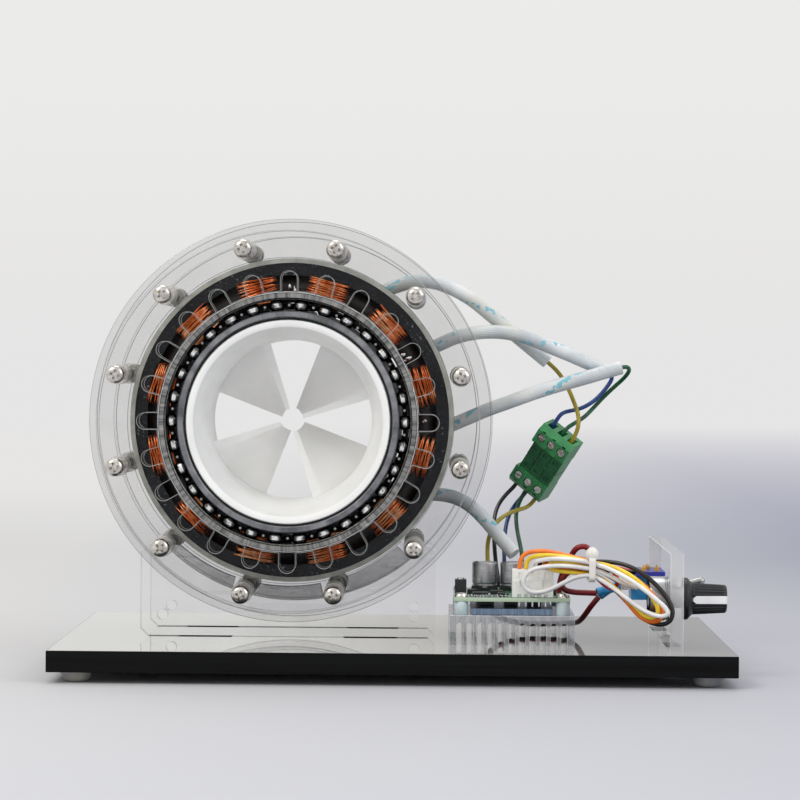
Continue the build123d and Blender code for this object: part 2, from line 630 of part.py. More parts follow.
def make_fan_rotor():
    """A tube that narrows to a throat, with twisted blades that leave the middle open."""
    front = MOTOR_FRONT + END_RECESS
    back = MOTOR_BACK - END_RECESS
    outside = BEARING_BORE - TUBE_WALL - SEAT_CLEARANCE * 2
    with BuildPart() as blade:
        for step in range(BLADE_STEPS):
            depth = BLADE_FRONT + (BLADE_BACK - BLADE_FRONT) * step / (BLADE_STEPS - 1)
            with BuildSketch(motor_plane(depth)):
                Polygon(*blade_section(step), align=None)
        loft(ruled=True)
    with BuildPart() as fan_rotor:
        with BuildSketch(section_plane()):
            with BuildLine():
                Polyline((FAN_LIP_RADIUS, front + FAN_LIP_LENGTH), (FAN_LIP_RADIUS, front), (outside, front))
                Polyline((outside, front), (outside, back), (FAN_LIP_RADIUS, back))
                Line((FAN_LIP_RADIUS, back), (FAN_LIP_RADIUS, back - FAN_LIP_LENGTH))
                TangentArc(
                    (FAN_LIP_RADIUS, back - FAN_LIP_LENGTH), (FAN_THROAT_RADIUS, THROAT_BACK), tangent=(0, -1)
                )
                Line((FAN_THROAT_RADIUS, THROAT_BACK), (FAN_THROAT_RADIUS, THROAT_FRONT))
                TangentArc(
                    (FAN_LIP_RADIUS, front + FAN_LIP_LENGTH), (FAN_THROAT_RADIUS, THROAT_FRONT), tangent=(0, 1)
                )
            make_face()
        revolve(axis=MOTOR_AXIS)
        for index in range(BLADE_COUNT):
            add(blade.part.rotate(MOTOR_AXIS, index * 360 / BLADE_COUNT))
    write(fan_rotor, "fan_rotor")


def make_magnets():
    inside = BEARING_BORE + CORE_WALL + SEAT_CLEARANCE
    outside = inside + MAGNET_THICKNESS
    front = STACK_FRONT - MAGNET_OVERHANG
    with BuildPart() as magnets:
        with BuildSketch(motor_plane(front)):
            Circle(outside)
            Circle(inside, mode=Mode.SUBTRACT)
            with PolarLocations((inside + outside) / 2, MAGNET_COUNT):
                Rectangle(2 * MAGNET_THICKNESS, MAGNET_GAP, mode=Mode.SUBTRACT)
        extrude(amount=-(STACK_BACK - STACK_FRONT + 2 * MAGNET_OVERHANG))
    write(magnets, "rotor_magnets")


def make_rotor():
    make_fan_rotor()
    front = MOTOR_FRONT + END_RECESS
    back = MOTOR_BACK - END_RECESS
    tube_outside = BEARING_BORE - SEAT_CLEARANCE
    make_ring(front, back, BEARING_BORE - TUBE_WALL - SEAT_CLEARANCE, tube_outside, "rotor_tube")
    core_outside = BEARING_BORE + CORE_WALL
    make_ring(FRONT_PLATE_BACK, REAR_PLATE_FRONT, BEARING_BORE, core_outside, "rotor_core")
    make_magnets()


# ---- Stator ----
def tooth_places(radius):
    return PolarLocations(radius, TOOTH_COUNT, start_angle=TOOTH_START)


def make_stator_core():
    shoe = STATOR_BORE + SHOE_DEPTH
    tooth_length = YOKE_INSIDE + 1 - STATOR_BORE - SHOE_DEPTH / 2
    slot_start = TOOTH_START + 180 / TOOTH_COUNT
    with BuildPart() as core:
        with BuildSketch(motor_plane(STACK_FRONT)):
            Circle(shoe)
            Circle(STATOR_BORE, mode=Mode.SUBTRACT)
            with PolarLocations(STATOR_BORE, TOOTH_COUNT, start_angle=slot_start):
                Rectangle(4 * SHOE_DEPTH, SLOT_OPENING, mode=Mode.SUBTRACT)
            with tooth_places(YOKE_INSIDE + 1 - tooth_length / 2):
                Rectangle(tooth_length, TOOTH_WIDTH)
            with BuildSketch(mode=Mode.PRIVATE) as yoke:
                Circle(HOUSING_BORE - SEAT_CLEARANCE)
                Circle(YOKE_INSIDE, mode=Mode.SUBTRACT)
            add(yoke.sketch)
        extrude(amount=-(STACK_BACK - STACK_FRONT))
    write(core, "stator_core")


def lead_plane(route):
    """Where a sleeve leaves its anchor: the plane's normal is the sleeve's direction."""
    return Plane(origin=route[0], x_dir=(0, 1, 0), z_dir=Vector(route[1]) - Vector(route[0]))


def make_winding_cap(face, outward, label):
    """An end cap of the winding: a plate on the stack, with a flange at each end of each tooth.

    outward is -1 in front of the stack and 1 behind it.
    """
    outer_middle = YOKE_INSIDE + CAP_FLANGE_SHEET / 2
    inner_middle = STATOR_BORE + CAP_FLANGE_SHEET / 2
    finger = YOKE_INSIDE + 1 - STATOR_BORE
    with BuildPart() as cap:
        with BuildSketch(motor_plane(face)):
            Circle(HOUSING_BORE - CAP_RIM)
            Circle(YOKE_INSIDE, mode=Mode.SUBTRACT)
            with tooth_places(STATOR_BORE + finger / 2):
                Rectangle(finger, TOOTH_WIDTH)
        extrude(amount=-outward * CAP_SHEET)
        with BuildSketch(motor_plane(face)):
            with tooth_places(outer_middle):
                Rectangle(CAP_FLANGE_SHEET, OUTER_FLANGE_WIDTH)
            with tooth_places(inner_middle):
                Rectangle(CAP_FLANGE_SHEET, INNER_FLANGE_WIDTH)
        extrude(amount=-outward * CAP_FLANGE_HEIGHT)
        if outward > 0:
            reach = LEAD_DEPTH + SLEEVE_WIDTH / 2 - face
            for route in LEAD_ROUTES.values():
                with BuildSketch(lead_plane(route)):
                    with Locations((SLEEVE_WIDTH / 2 - reach / 2, 0)):
                        Rectangle(reach, ANCHOR_WIDTH)
                extrude(amount=-ANCHOR_LENGTH)
    write(cap, label)


def coil_point(side, radius, depth):
    """A point of a coil round the tooth that points along +X; side is across the tooth."""
    return (MOTOR_X + radius, depth, MOTOR_Z + side)


def coil_path():
    """Two turns round one tooth: straight legs along the stack, joined by half turns that climb."""
    half = TOOTH_WIDTH / 2 + COIL_CLEARANCE + COIL_WIRE / 2
    front = STACK_FRONT - CAP_SHEET
    back = STACK_BACK + CAP_SHEET
    inner = STATOR_BORE + SHOE_DEPTH + COIL_CLEARANCE + COIL_WIRE / 2
    climb = (YOKE_INSIDE - COIL_CLEARANCE - COIL_WIRE / 2 - inner) / (COIL_LEGS - 1)
    radii = [inner + climb * leg for leg in range(COIL_LEGS)]
    edges = []
    for leg, radius in enumerate(radii):
        side = half if leg % 2 == 0 else -half
        start, end = (back, front) if leg % 2 == 0 else (front, back)
        edges.append(Edge.make_line(coil_point(side, radius, start), coil_point(side, radius, end)))
        if leg < COIL_LEGS - 1:
            near = coil_point(side, radius, end)
            far = coil_point(-side, radii[leg + 1], end)
            reach = dist(near, far) / 2
            bulge = end - reach if end == front else end + reach
            middle = coil_point(0, radius + climb / 2, bulge)
            edges.append(Edge.make_three_point_arc(near, middle, far))
    return edges


def least_gap(edges, width):
    """The least clear distance between parts of a tube that aren't neighbours along it, on points."""
    points = [(index, edge @ (step / 12)) for index, edge in enumerate(edges) for step in range(13)]
    gaps = [(a - b).length for i, a in points for j, b in points if j - i >= 2]
    return min(gaps) - width


def make_coils():
    edges = coil_path()
    print("stator coil: least gap to itself", round(least_gap(edges, COIL_WIRE), 2), "mm")
    with BuildPart() as coil:
        with BuildLine() as route:
            for edge in edges:
                add(edge)
        path = route.wires()[0]
        with BuildSketch(Plane(origin=path @ 0, z_dir=path % 0)):
            RegularPolygon(COIL_WIRE / 2, COIL_SIDES)
        sweep(path=path)
    with BuildPart() as coils:
        for index in range(TOOTH_COUNT):
            add(coil.part.rotate(MOTOR_AXIS, -(TOOTH_START + index * 360 / TOOTH_COUNT)))
    write(coils, "stator_coils")


def make_stator():
    make_stator_core()
    make_winding_cap(STACK_FRONT, -1, "front_winding_cap")
    make_winding_cap(STACK_BACK, 1, "rear_winding_cap")
    make_coils()


# ---- Controller ----
def make_riser():
    front = Plane(origin=(RISER_X, RISER_FRONT, BASE_TOP), x_dir=(1, 0, 0), z_dir=(0, -1, 0))
    with BuildPart() as riser:
        with BuildSketch(Plane.XY.offset(BASE_TOP)):
            with Locations((RISER_X, RISER_FRONT + RISER_DEPTH / 2)):
                RectangleRounded(RISER_WIDTH, RISER_DEPTH, RISER_CORNER)
        extrude(amount=RISER_HEIGHT)
        with BuildSketch(front):
            with Locations((0, RISER_SLOT_HEIGHT - RISER_SLOT_WIDTH / 2)):
                with GridLocations(RISER_SLOT_PITCH, 0, RISER_SLOT_COUNT, 1):
                    with Locations(Rotation(0, 0, 90)):
                        flat_ended_slot(RISER_HEIGHT, RISER_SLOT_WIDTH, Mode.ADD)
        extrude(amount=-RISER_DEPTH, mode=Mode.SUBTRACT)
    write(riser, "controller_riser")


def board_holes():
    return GridLocations(BOARD_HOLE_SPACING, BOARD_HOLE_SPACING, 2, 2)


def make_board():
    with BuildPart() as board:
        with BuildSketch(Plane.XY.offset(BOARD_BOTTOM)):
            with Locations((RISER_X, BOARD_Y)):
                Rectangle(BOARD_SIZE, BOARD_SIZE)
                with board_holes():
                    RegularPolygon(BOARD_HOLE_RADIUS, 8, mode=Mode.SUBTRACT)
            with Locations((HEADER_X, HEADER_Y)):
                with GridLocations(PIN_PITCH, 0, PIN_COUNT, 1):
                    Rectangle(PIN_WIDTH + 0.2, PIN_WIDTH + 0.2, mode=Mode.SUBTRACT)
        extrude(amount=BOARD_THICKNESS)
    write(board, "controller_board")


def make_board_fixings():
    with BuildPart() as spacers:
        with BuildSketch(Plane.XY.offset(RISER_TOP)):
            with Locations((RISER_X, BOARD_Y)):
                with board_holes():
                    RegularPolygon(BOARD_SPACER_RADIUS, 10)
                    RegularPolygon(BOARD_HOLE_RADIUS, 8, mode=Mode.SUBTRACT)
        extrude(amount=BOARD_GAP)
    write(spacers, "board_spacers")
    with BuildPart() as screws:
        with BuildSketch(Plane.XY.offset(BOARD_TOP)):
            with Locations((RISER_X, BOARD_Y)):
                with board_holes():
                    RegularPolygon(BOARD_SCREW_HEAD, 10)
        extrude(amount=BOARD_SCREW_HEAD_HEIGHT, taper=15)
        with BuildSketch(Plane.XY.offset(BOARD_TOP)):
            with Locations((RISER_X, BOARD_Y)):
                with board_holes():
                    RegularPolygon(BOARD_SCREW_RADIUS, 8)
        extrude(amount=-(BOARD_TOP - RISER_TOP))
    write(screws, "board_screws")


def make_underboard():
    with BuildPart() as spreader:
        with BuildSketch(Plane.XY.offset(RISER_TOP)):
            with Locations((RISER_X, BOARD_Y)):
                Rectangle(SPREADER_WIDTH, SPREADER_DEPTH)
        extrude(amount=SPREADER_THICKNESS)
    write(spreader, "heat_spreader")
    with BuildPart() as transistors:
        with BuildSketch(Plane.XY.offset(RISER_TOP + SPREADER_THICKNESS)):
            with Locations((RISER_X, BOARD_Y)):
                with GridLocations(9.0, 11.0, 3, 2):
                    Rectangle(5.0, 6.2)
        extrude(amount=BOARD_GAP - SPREADER_THICKNESS)
    write(transistors, "power_transistors")


def make_capacitors():
    with BuildPart() as capacitors:
        with BuildSketch(Plane.XY.offset(BOARD_TOP)):
            for x in CAN_X:
                with Locations((x, CAN_Y)):
                    Rectangle(CAN_BASE, CAN_BASE)
        extrude(amount=CAN_BASE_HEIGHT)
        with BuildSketch(Plane.XY.offset(BOARD_TOP + CAN_BASE_HEIGHT)):
            for x in CAN_X:
                with Locations((x, CAN_Y)):
                    Circle(CAN_RADIUS)
        extrude(amount=CAN_HEIGHT)
    write(capacitors, "capacitors")


# Each chip: x, y, width, depth, height
CHIPS = (
    (33.0, -30.0, 7.0, 7.0, 1.2),
    (41.0, -33.5, 4.0, 5.0, 1.4),
    (26.6, -31.0, 3.4, 3.0, 1.0),
    (30.2, -22.0, 5.0, 4.0, 1.6),
    (39.5, -24.5, 6.0, 5.0, 1.4),
    (50.0, -25.5, 7.0, 6.0, 1.5),
    (60.5, -24.0, 4.6, 5.6, 2.2),
    (59.0, -14.0, 6.0, 6.0, 1.4),
    (25.6, -12.0, 2.6, 5.0, 1.4),
    (58.5, -3.6, 5.0, 4.0, 1.8),
    (31.4, -38.2, 1.6, 0.8, 0.6),
    (36.5, -38.2, 1.6, 0.8, 0.6),
    (40.5, -38.2, 1.6, 0.8, 0.6),
    (62.4, -31.0, 0.8, 1.6, 0.6),
    (43.6, -28.5, 1.6, 0.8, 0.6),
    (34.4, -24.0, 0.8, 1.6, 0.6),
)
TRIMMER = (25.6, -24.5, 4.4, 4.4, 6.2)


def make_chips():
    with BuildPart() as chips:
        for x, y, width, depth, height in (*CHIPS, TRIMMER):
            with BuildSketch(Plane.XY.offset(BOARD_TOP)):
                with Locations((x, y)):
                    Rectangle(width, depth)
            extrude(amount=height)
    write(chips, "controller_chips")


def make_header():
    place = (HEADER_X, HEADER_Y)
    with BuildPart() as socket:
        with BuildSketch(Plane.XY.offset(BOARD_TOP)):
            with Locations(place):
                Rectangle(HEADER_LENGTH, HEADER_DEPTH)
        extrude(amount=HEADER_HEIGHT)
        with BuildSketch(Plane.XY.offset(BOARD_TOP + HEADER_FLOOR)):
            with Locations(place):
                Rectangle(HEADER_LENGTH - 2 * HEADER_WALL, HEADER_DEPTH - 2 * HEADER_WALL)
        extrude(amount=HEADER_HEIGHT, mode=Mode.SUBTRACT)
        with BuildSketch(Plane.XY.offset(BOARD_BOTTOM - PIN_BELOW)):
            with Locations(place):
                with GridLocations(PIN_PITCH, 0, PIN_COUNT, 1):
                    Rectangle(PIN_WIDTH, PIN_WIDTH)
        extrude(amount=PIN_BELOW + BOARD_THICKNESS + PIN_ABOVE)
    write(socket, "header_socket")
    plug_bottom = BOARD_TOP + HEADER_FLOOR
    inset = 2 * (HEADER_WALL + PLUG_CLEARANCE)
    with BuildPart() as plug:
        with BuildSketch(Plane.XY.offset(plug_bottom)):
            with Locations(place):
                Rectangle(HEADER_LENGTH - inset, HEADER_DEPTH - inset)
        extrude(amount=HEADER_HEIGHT - HEADER_FLOOR)
        with BuildSketch(Plane.XY.offset(BOARD_TOP + HEADER_HEIGHT)):
            with Locations(place):
                Rectangle(HEADER_LENGTH, HEADER_DEPTH - HEADER_WALL)
        extrude(amount=PLUG_TOP - HEADER_HEIGHT)
        with BuildSketch(Plane.XY.offset(plug_bottom)):
            with Locations(place):
                with GridLocations(PIN_PITCH, 0, PIN_COUNT, 1):
                    Rectangle(PIN_WIDTH + 0.4, PIN_WIDTH + 0.4)
        extrude(amount=PIN_ABOVE, mode=Mode.SUBTRACT)
    write(plug, "header_plug")


# ---- Control panel ----
def x_plane(x, y, z):
    """A plane that faces right: local x goes to the back and local y up."""
    return Plane(origin=(x, y, z), x_dir=(0, 1, 0), z_dir=(1, 0, 0))


def x_section(y, z):
    """A half section along X: local x is the distance along X and local y the radius, upwards."""
    return Plane(origin=(0, y, z), x_dir=(1, 0, 0), z_dir=(0, -1, 0))


def make_panel():
    middle = PANEL_FRONT + PANEL_LENGTH / 2
    with BuildPart() as panel:
        with BuildSketch(x_plane(PANEL_LEFT, middle, BASE_TOP)):
            with Locations((0, PANEL_HEIGHT / 2)):
                Rectangle(PANEL_LENGTH, PANEL_HEIGHT)
            with Locations((0, -BASE_THICKNESS / 2)):
                with GridLocations(PANEL_TAB_SPACING, 0, 2, 1):
                    Rectangle(PANEL_TAB_LENGTH, BASE_THICKNESS)
            with Locations((POT_Y - middle, POT_Z - BASE_TOP)):
                Circle(BUSHING_RADIUS + JOINT_CLEARANCE, mode=Mode.SUBTRACT)
            with Locations((TOGGLE_Y - middle, TOGGLE_Z - BASE_TOP)):
                Circle(TOGGLE_BUSHING_RADIUS + JOINT_CLEARANCE, mode=Mode.SUBTRACT)
        extrude(amount=PANEL_THICKNESS)
    write(panel, "control_panel")


def make_potentiometer():
    with BuildPart() as pot:
        with BuildSketch(x_plane(PANEL_LEFT, POT_Y, POT_Z)):
            Circle(POT_RADIUS)
        extrude(amount=-POT_DEPTH)
        with BuildSketch(x_plane(PANEL_LEFT, POT_Y, POT_Z)):
            Circle(BUSHING_RADIUS)
        extrude(amount=BUSHING_LENGTH)
        with BuildSketch(x_plane(PANEL_LEFT - POT_DEPTH / 2, POT_Y, POT_Z)):
            Circle(SHAFT_RADIUS + RUNNING_CLEARANCE)
        extrude(amount=BUSHING_LENGTH + POT_DEPTH, mode=Mode.SUBTRACT)
        with BuildSketch(x_plane(PANEL_LEFT - POT_DEPTH, POT_Y, POT_Z)):
            with Locations((0, POT_RADIUS / 2)):
                with GridLocations(LUG_SPACING, 0, 3, 1):
                    Rectangle(LUG[2], LUG[1])
        extrude(amount=-LUG[0])
    write(pot, "potentiometer")
    with BuildPart() as nuts:
        with BuildSketch(x_plane(PANEL_RIGHT, POT_Y, POT_Z)):
            RegularPolygon(POT_NUT_RADIUS, 6)
            Circle(BUSHING_RADIUS + SEAT_CLEARANCE, mode=Mode.SUBTRACT)
        extrude(amount=NUT_THICKNESS)
        with BuildSketch(x_plane(PANEL_RIGHT, TOGGLE_Y, TOGGLE_Z)):
            RegularPolygon(TOGGLE_NUT_RADIUS, 6)
            Circle(TOGGLE_BUSHING_RADIUS + SEAT_CLEARANCE, mode=Mode.SUBTRACT)
        extrude(amount=NUT_THICKNESS)
    write(nuts, "panel_nuts")


def make_knob():
    """A skirted knob with fine flutes; its underside is hollow over the bushing."""
    left = PANEL_RIGHT + NUT_THICKNESS + KNOB_GAP
    right = left + KNOB_LENGTH
    bushing_end = PANEL_LEFT + BUSHING_LENGTH + KNOB_GAP
    bore_end = right - KNOB_WALL
    bore = SHAFT_RADIUS + SEAT_CLEARANCE
    with BuildPart() as knob:
        with BuildSketch(x_section(POT_Y, POT_Z)):
            with BuildLine():
                Polyline(
                    (left, KNOB_RECESS_RADIUS),
                    (left, KNOB_SKIRT_RADIUS),
                    (left + KNOB_SKIRT_HEIGHT * 0.6, KNOB_SKIRT_RADIUS),
                    (left + KNOB_SKIRT_HEIGHT, KNOB_BODY_RADIUS),
                    (right - 0.6, KNOB_TOP_RADIUS),
                    (right, KNOB_TOP_RADIUS - 0.6),
                    (right, 0),
                    (bore_end, 0),
                    (bore_end, bore),
                    (bushing_end, bore),
                    (bushing_end, KNOB_RECESS_RADIUS),
                    close=True,
                )
            make_face()
        revolve(axis=Axis((0, POT_Y, POT_Z), (1, 0, 0)))
        with BuildSketch(x_plane(right, POT_Y, POT_Z)):
            with PolarLocations(KNOB_BODY_RADIUS, KNOB_FLUTES, start_angle=180 / KNOB_FLUTES):
                RegularPolygon(FLUTE_RADIUS, 4)
        extrude(amount=-(KNOB_LENGTH - KNOB_SKIRT_HEIGHT - 1), mode=Mode.SUBTRACT)
        with BuildSketch(x_section(POT_Y, POT_Z).offset(KNOB_TOP_RADIUS - 1)):
            with Locations(((left + KNOB_SKIRT_HEIGHT + right) / 2 + 1, 0)):
                Rectangle(right - left - KNOB_SKIRT_HEIGHT - 2, POINTER_WIDTH)
        extrude(amount=KNOB_SKIRT_RADIUS, mode=Mode.SUBTRACT)
    write(knob, "control_knob")
    with BuildPart() as pointer:
        with BuildSketch(x_section(POT_Y, POT_Z).offset(KNOB_TOP_RADIUS - 1)):
            with Locations(((left + KNOB_SKIRT_HEIGHT + right) / 2 + 1, 0)):
                Rectangle(right - left - KNOB_SKIRT_HEIGHT - 2, POINTER_WIDTH)
        extrude(amount=1 + POINTER_PROUD)
    write(pointer, "knob_pointer")
    with BuildPart() as shaft:
        with BuildSketch(x_plane(PANEL_LEFT - POT_DEPTH / 2 + KNOB_GAP, POT_Y, POT_Z)):
            Circle(SHAFT_RADIUS)
        extrude(amount=bore_end - PANEL_LEFT + POT_DEPTH / 2 - 2 * KNOB_GAP)
    write(shaft, "knob_shaft")


def make_toggle():
    depth, width, height = TOGGLE_BODY
    pivot = PANEL_LEFT + BUSHING_LENGTH - TOGGLE_PIVOT_DEPTH
    with BuildPart() as switch:
        with BuildSketch(x_plane(PANEL_LEFT, TOGGLE_Y, TOGGLE_Z)):
            Rectangle(width, height)
        extrude(amount=-depth)
        with BuildSketch(x_plane(PANEL_LEFT, TOGGLE_Y, TOGGLE_Z)):
            Circle(TOGGLE_BUSHING_RADIUS)
        extrude(amount=BUSHING_LENGTH)
        with BuildSketch(x_plane(PANEL_LEFT + BUSHING_LENGTH, TOGGLE_Y, TOGGLE_Z)):
            Circle(TOGGLE_BORE_RADIUS)
        extrude(amount=-TOGGLE_BORE_DEPTH, mode=Mode.SUBTRACT)
        with BuildSketch(x_plane(PANEL_LEFT - depth, TOGGLE_Y, TOGGLE_Z)):
            with GridLocations(LUG_SPACING, 0, 3, 1):
                Rectangle(LUG[1], LUG[2])
        extrude(amount=-LUG[0])
    write(switch, "toggle_switch")
    tilt = radians(TOGGLE_TILT)
    along = Plane(
        origin=(pivot, TOGGLE_Y, TOGGLE_Z), x_dir=(0, 1, 0), z_dir=(cos(tilt), 0, sin(tilt))
    )
    with BuildPart() as lever:
        with BuildSketch(along):
            RegularPolygon(LEVER_ROOT_RADIUS, LEVER_SIDES)
        with BuildSketch(along.offset(LEVER_REACH - LEVER_TIP_RADIUS)):
            RegularPolygon(LEVER_TIP_RADIUS, LEVER_SIDES)
        loft()
        with BuildSketch(along.offset(LEVER_REACH - LEVER_TIP_RADIUS)):
            RegularPolygon(LEVER_TIP_RADIUS, LEVER_SIDES)
        extrude(amount=LEVER_TIP_RADIUS, taper=30)
        for side in (1, -1):
            with BuildSketch(along):
                RegularPolygon(TOGGLE_PIVOT_RADIUS, LEVER_SIDES)
            extrude(amount=side * TOGGLE_PIVOT_RADIUS * 0.8, taper=30)
    write(lever, "toggle_lever")
    with BuildPart() as board:
        with BuildSketch(Plane.XY.offset(TOGGLE_Z + height / 2)):
            with Locations((PANEL_LEFT - SWITCH_BOARD[0] / 2, TOGGLE_Y)):
                Rectangle(SWITCH_BOARD[0], SWITCH_BOARD[1])
        extrude(amount=SWITCH_BOARD[2])
        with BuildSketch(Plane.XY.offset(TOGGLE_Z + height / 2 + SWITCH_BOARD[2])):
            with Locations((PANEL_LEFT - SWITCH_BOARD[0] / 2, TOGGLE_Y - 8)):
                with GridLocations(5.0, 0, 2, 1):
                    Rectangle(2.0, 2.0)
        extrude(amount=2.4)
    write(board, "switch_board")


# ---- Terminal pair ----
def terminal_plane(along, out=0.0):
    """A plane square to the pair's length, at a distance along it and out from its middle."""
    face = Plane(
        origin=TERMINAL_CENTRE, x_dir=TERMINAL_WIDTH_DIRECTION, z_dir=TERMINAL_FACE_DIRECTION
    )
    return Plane(origin=face.from_local_coords((0, along, out)), x_dir=face.x_dir, z_dir=face.y_dir)


def terminal_point(pole, along, out=0.0):
    """A point in the pair: pole counts -1, 0, 1 from left to right."""
    face = Plane(
        origin=TERMINAL_CENTRE, x_dir=TERMINAL_WIDTH_DIRECTION, z_dir=TERMINAL_FACE_DIRECTION
    )
    point = face.from_local_coords((pole * POLE_PITCH, along, out))
    return (point.X, point.Y, point.Z)


def make_terminal_half(end, label):
    """Half of the pair: end is 1 for the upper half and -1 for the lower one."""
    far = end * TERMINAL_HALF_LENGTH
    neck = end * (TERMINAL_HALF_LENGTH - HEAD_BLOCK_LENGTH)
    half_thickness = TERMINAL_THICKNESS / 2
    with BuildPart() as half:
        with BuildSketch(terminal_plane(neck)):
            Rectangle(TERMINAL_WIDTH, TERMINAL_THICKNESS)
        extrude(amount=end * HEAD_BLOCK_LENGTH)
        front_edge = half.edges().filter_by(lambda edge: abs(edge.length - TERMINAL_WIDTH) < 0.01)
        outer = front_edge.sort_by(lambda edge: -end * terminal_depth(edge.center())[1])[:2]
        chamfer(sorted(outer, key=lambda edge: -terminal_depth(edge.center())[2])[:1], TERMINAL_BEVEL)
        with BuildSketch(terminal_plane(neck)):
            with Locations((NECK_INSET / 2, -NECK_STEP / 2 * end)):
                Rectangle(TERMINAL_WIDTH - NECK_INSET, TERMINAL_THICKNESS - NECK_STEP)
        extrude(amount=-neck)
        with BuildSketch(terminal_plane(far)):
            with GridLocations(POLE_PITCH, 0, POLE_COUNT, 1):
                Rectangle(ENTRY_WIDTH, ENTRY_THICKNESS)
        extrude(amount=-end * ENTRY_DEPTH, mode=Mode.SUBTRACT)
        screw_row = far - end * CLAMP_SCREW_INSET
        face = Plane(
            origin=terminal_point(0, screw_row, half_thickness),
            x_dir=TERMINAL_WIDTH_DIRECTION,
            z_dir=TERMINAL_FACE_DIRECTION,
        )
        with BuildSketch(face):
            with GridLocations(POLE_PITCH, 0, POLE_COUNT, 1):
                RegularPolygon(CLAMP_SCREW_RADIUS + CLAMP_SCREW_CLEARANCE, 10)
        extrude(amount=-CLAMP_SCREW_LENGTH, mode=Mode.SUBTRACT)
    write(half, label)


def terminal_depth(point):
    """A point in the pair's own axes: across, along, and out through the face."""
    face = Plane(
        origin=TERMINAL_CENTRE, x_dir=TERMINAL_WIDTH_DIRECTION, z_dir=TERMINAL_FACE_DIRECTION
    )
    local = face.to_local_coords(point)
    return (local.X, local.Y, local.Z)


def make_clamp_screws():
    inset = 0.4
    with BuildPart() as screws:
        for end in (1, -1):
            row = end * (TERMINAL_HALF_LENGTH - CLAMP_SCREW_INSET)
            face = Plane(
                origin=terminal_point(0, row, TERMINAL_THICKNESS / 2 - CLAMP_SCREW_LENGTH),
                x_dir=TERMINAL_WIDTH_DIRECTION,
                z_dir=TERMINAL_FACE_DIRECTION,
            )
            with BuildSketch(face):
                with GridLocations(POLE_PITCH, 0, POLE_COUNT, 1):
                    RegularPolygon(CLAMP_SCREW_RADIUS, 10)
            extrude(amount=CLAMP_SCREW_LENGTH - inset)
    write(screws, "terminal_screws")


# ---- Cords ----
def cord_radii(points):
    """The arc at each corner of a route: a share of the shorter run, over the tangent of half the turn."""
    radii = []
    for before, corner, after in zip(points, points[1:], points[2:]):
        turn = (Vector(corner) - Vector(before)).get_angle(Vector(after) - Vector(corner))
        shorter = min(dist(before, corner), dist(corner, after))
        radii.append(ARC_SHARE * shorter / tan(radians(turn) / 2))
    return radii


def cord_tube(label, points, width, sides):
    """A cord as a tube along straight runs and tangent arcs."""
    radii = cord_radii(points)
    with BuildPart() as tube:
        with BuildLine() as route:
            FilletPolyline(*points, radius=radii)
        path = route.wires()[0]
        with BuildSketch(Plane(origin=path @ 0, z_dir=path % 0)) as section:
            RegularPolygon(width / 2, sides)
        sweep(path=path)
    share = tube.part.volume / (section.sketch.area * path.length)
    print(f"{label}: {path.length:.0f} mm long, least radius {min(radii):.1f} mm, volume share {share:.3f}")
    return tube.part


def cord_node(label, routes, width, sides):
    """One node that holds one or more cords of the same kind."""
    with BuildPart() as node:
        for name, points in routes.items():
            add(cord_tube(name, points, width, sides))
    write(node, label)


def make_cords():
    for label, points in LEAD_ROUTES.items():
        cord_node(label, {label: points}, SLEEVE_WIDTH, SLEEVE_SIDES)
    cord_node("motor_wires", MOTOR_WIRE_ROUTES, WIRE_WIDTH, WIRE_SIDES)
    cord_node("board_wires", BOARD_WIRE_ROUTES, WIRE_WIDTH, WIRE_SIDES)
    cord_node("harness_wires", HARNESS_ROUTES, WIRE_WIDTH, WIRE_SIDES)
    cord_node("power_leads", POWER_LEAD_ROUTES, POWER_LEAD_WIDTH, WIRE_SIDES)
    cord_node("heat_shrinks", SHRINK_ROUTES, SHRINK_WIDTH, SLEEVE_SIDES)


def make_cable_tie():
    """A strap round the harness, with its head at the top on the near side."""
    x, y, z = TIE_CENTRE
    window_depth, window_height = TIE_WINDOW
    strap = Plane(origin=(x - TIE_WIDTH / 2, y, z), x_dir=(0, 1, 0), z_dir=(1, 0, 0))
    with BuildPart() as tie:
        with BuildSketch(strap):
            RectangleRounded(window_depth + 2 * TIE_STRAP, window_height + 2 * TIE_STRAP, TIE_CORNER)
            RectangleRounded(window_depth, window_height, TIE_CORNER - TIE_STRAP, mode=Mode.SUBTRACT)
        extrude(amount=TIE_WIDTH)
        with BuildSketch(Plane.XY.offset(z + window_height / 2)):
            with Locations((x, y - window_depth / 2 + TIE_HEAD / 2)):
                Rectangle(TIE_HEAD, TIE_HEAD)
        extrude(amount=TIE_HEAD_HEIGHT)
    write(tie, "cable_tie")


def main():
    make_base()
    make_feet()
    make_stand_plate(FRONT_PLATE_BACK, "front_stand_plate")
    make_stand_plate(HOUSING_BACK, "rear_stand_plate")
    make_bearing_plate(MOTOR_FRONT, "front_bearing_plate")
    make_bearing_plate(REAR_PLATE_FRONT, "rear_bearing_plate")
    make_housing_ring()
    make_spacers(FRONT_PLATE_BACK, "front_spacers")
    make_spacers(HOUSING_BACK, "rear_spacers")
    make_screws()
    make_nuts()
    make_bearings()
    make_rotor()
    make_stator()
    make_riser()
    make_board()
    make_board_fixings()
    make_underboard()
    make_capacitors()
    make_chips()
    make_header()
    make_panel()
    make_potentiometer()
    make_knob()
    make_toggle()
    make_terminal_half(1, "terminal_plug")
    make_terminal_half(-1, "terminal_socket")
    make_clamp_screws()
    make_cords()
    make_cable_tie()


main()
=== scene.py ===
# %% [markdown]
# # A demonstration electric motor
#
# The motor is hollow: a white rotor with fan blades runs in two thin ball bearings, inside a ring of
# copper coils, and everything is held between clear acrylic plates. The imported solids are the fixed
# frame. This script gives each visible piece its real form and finish. Lengths are written in
# millimetres and scaled to metres once, where a mesh is made.

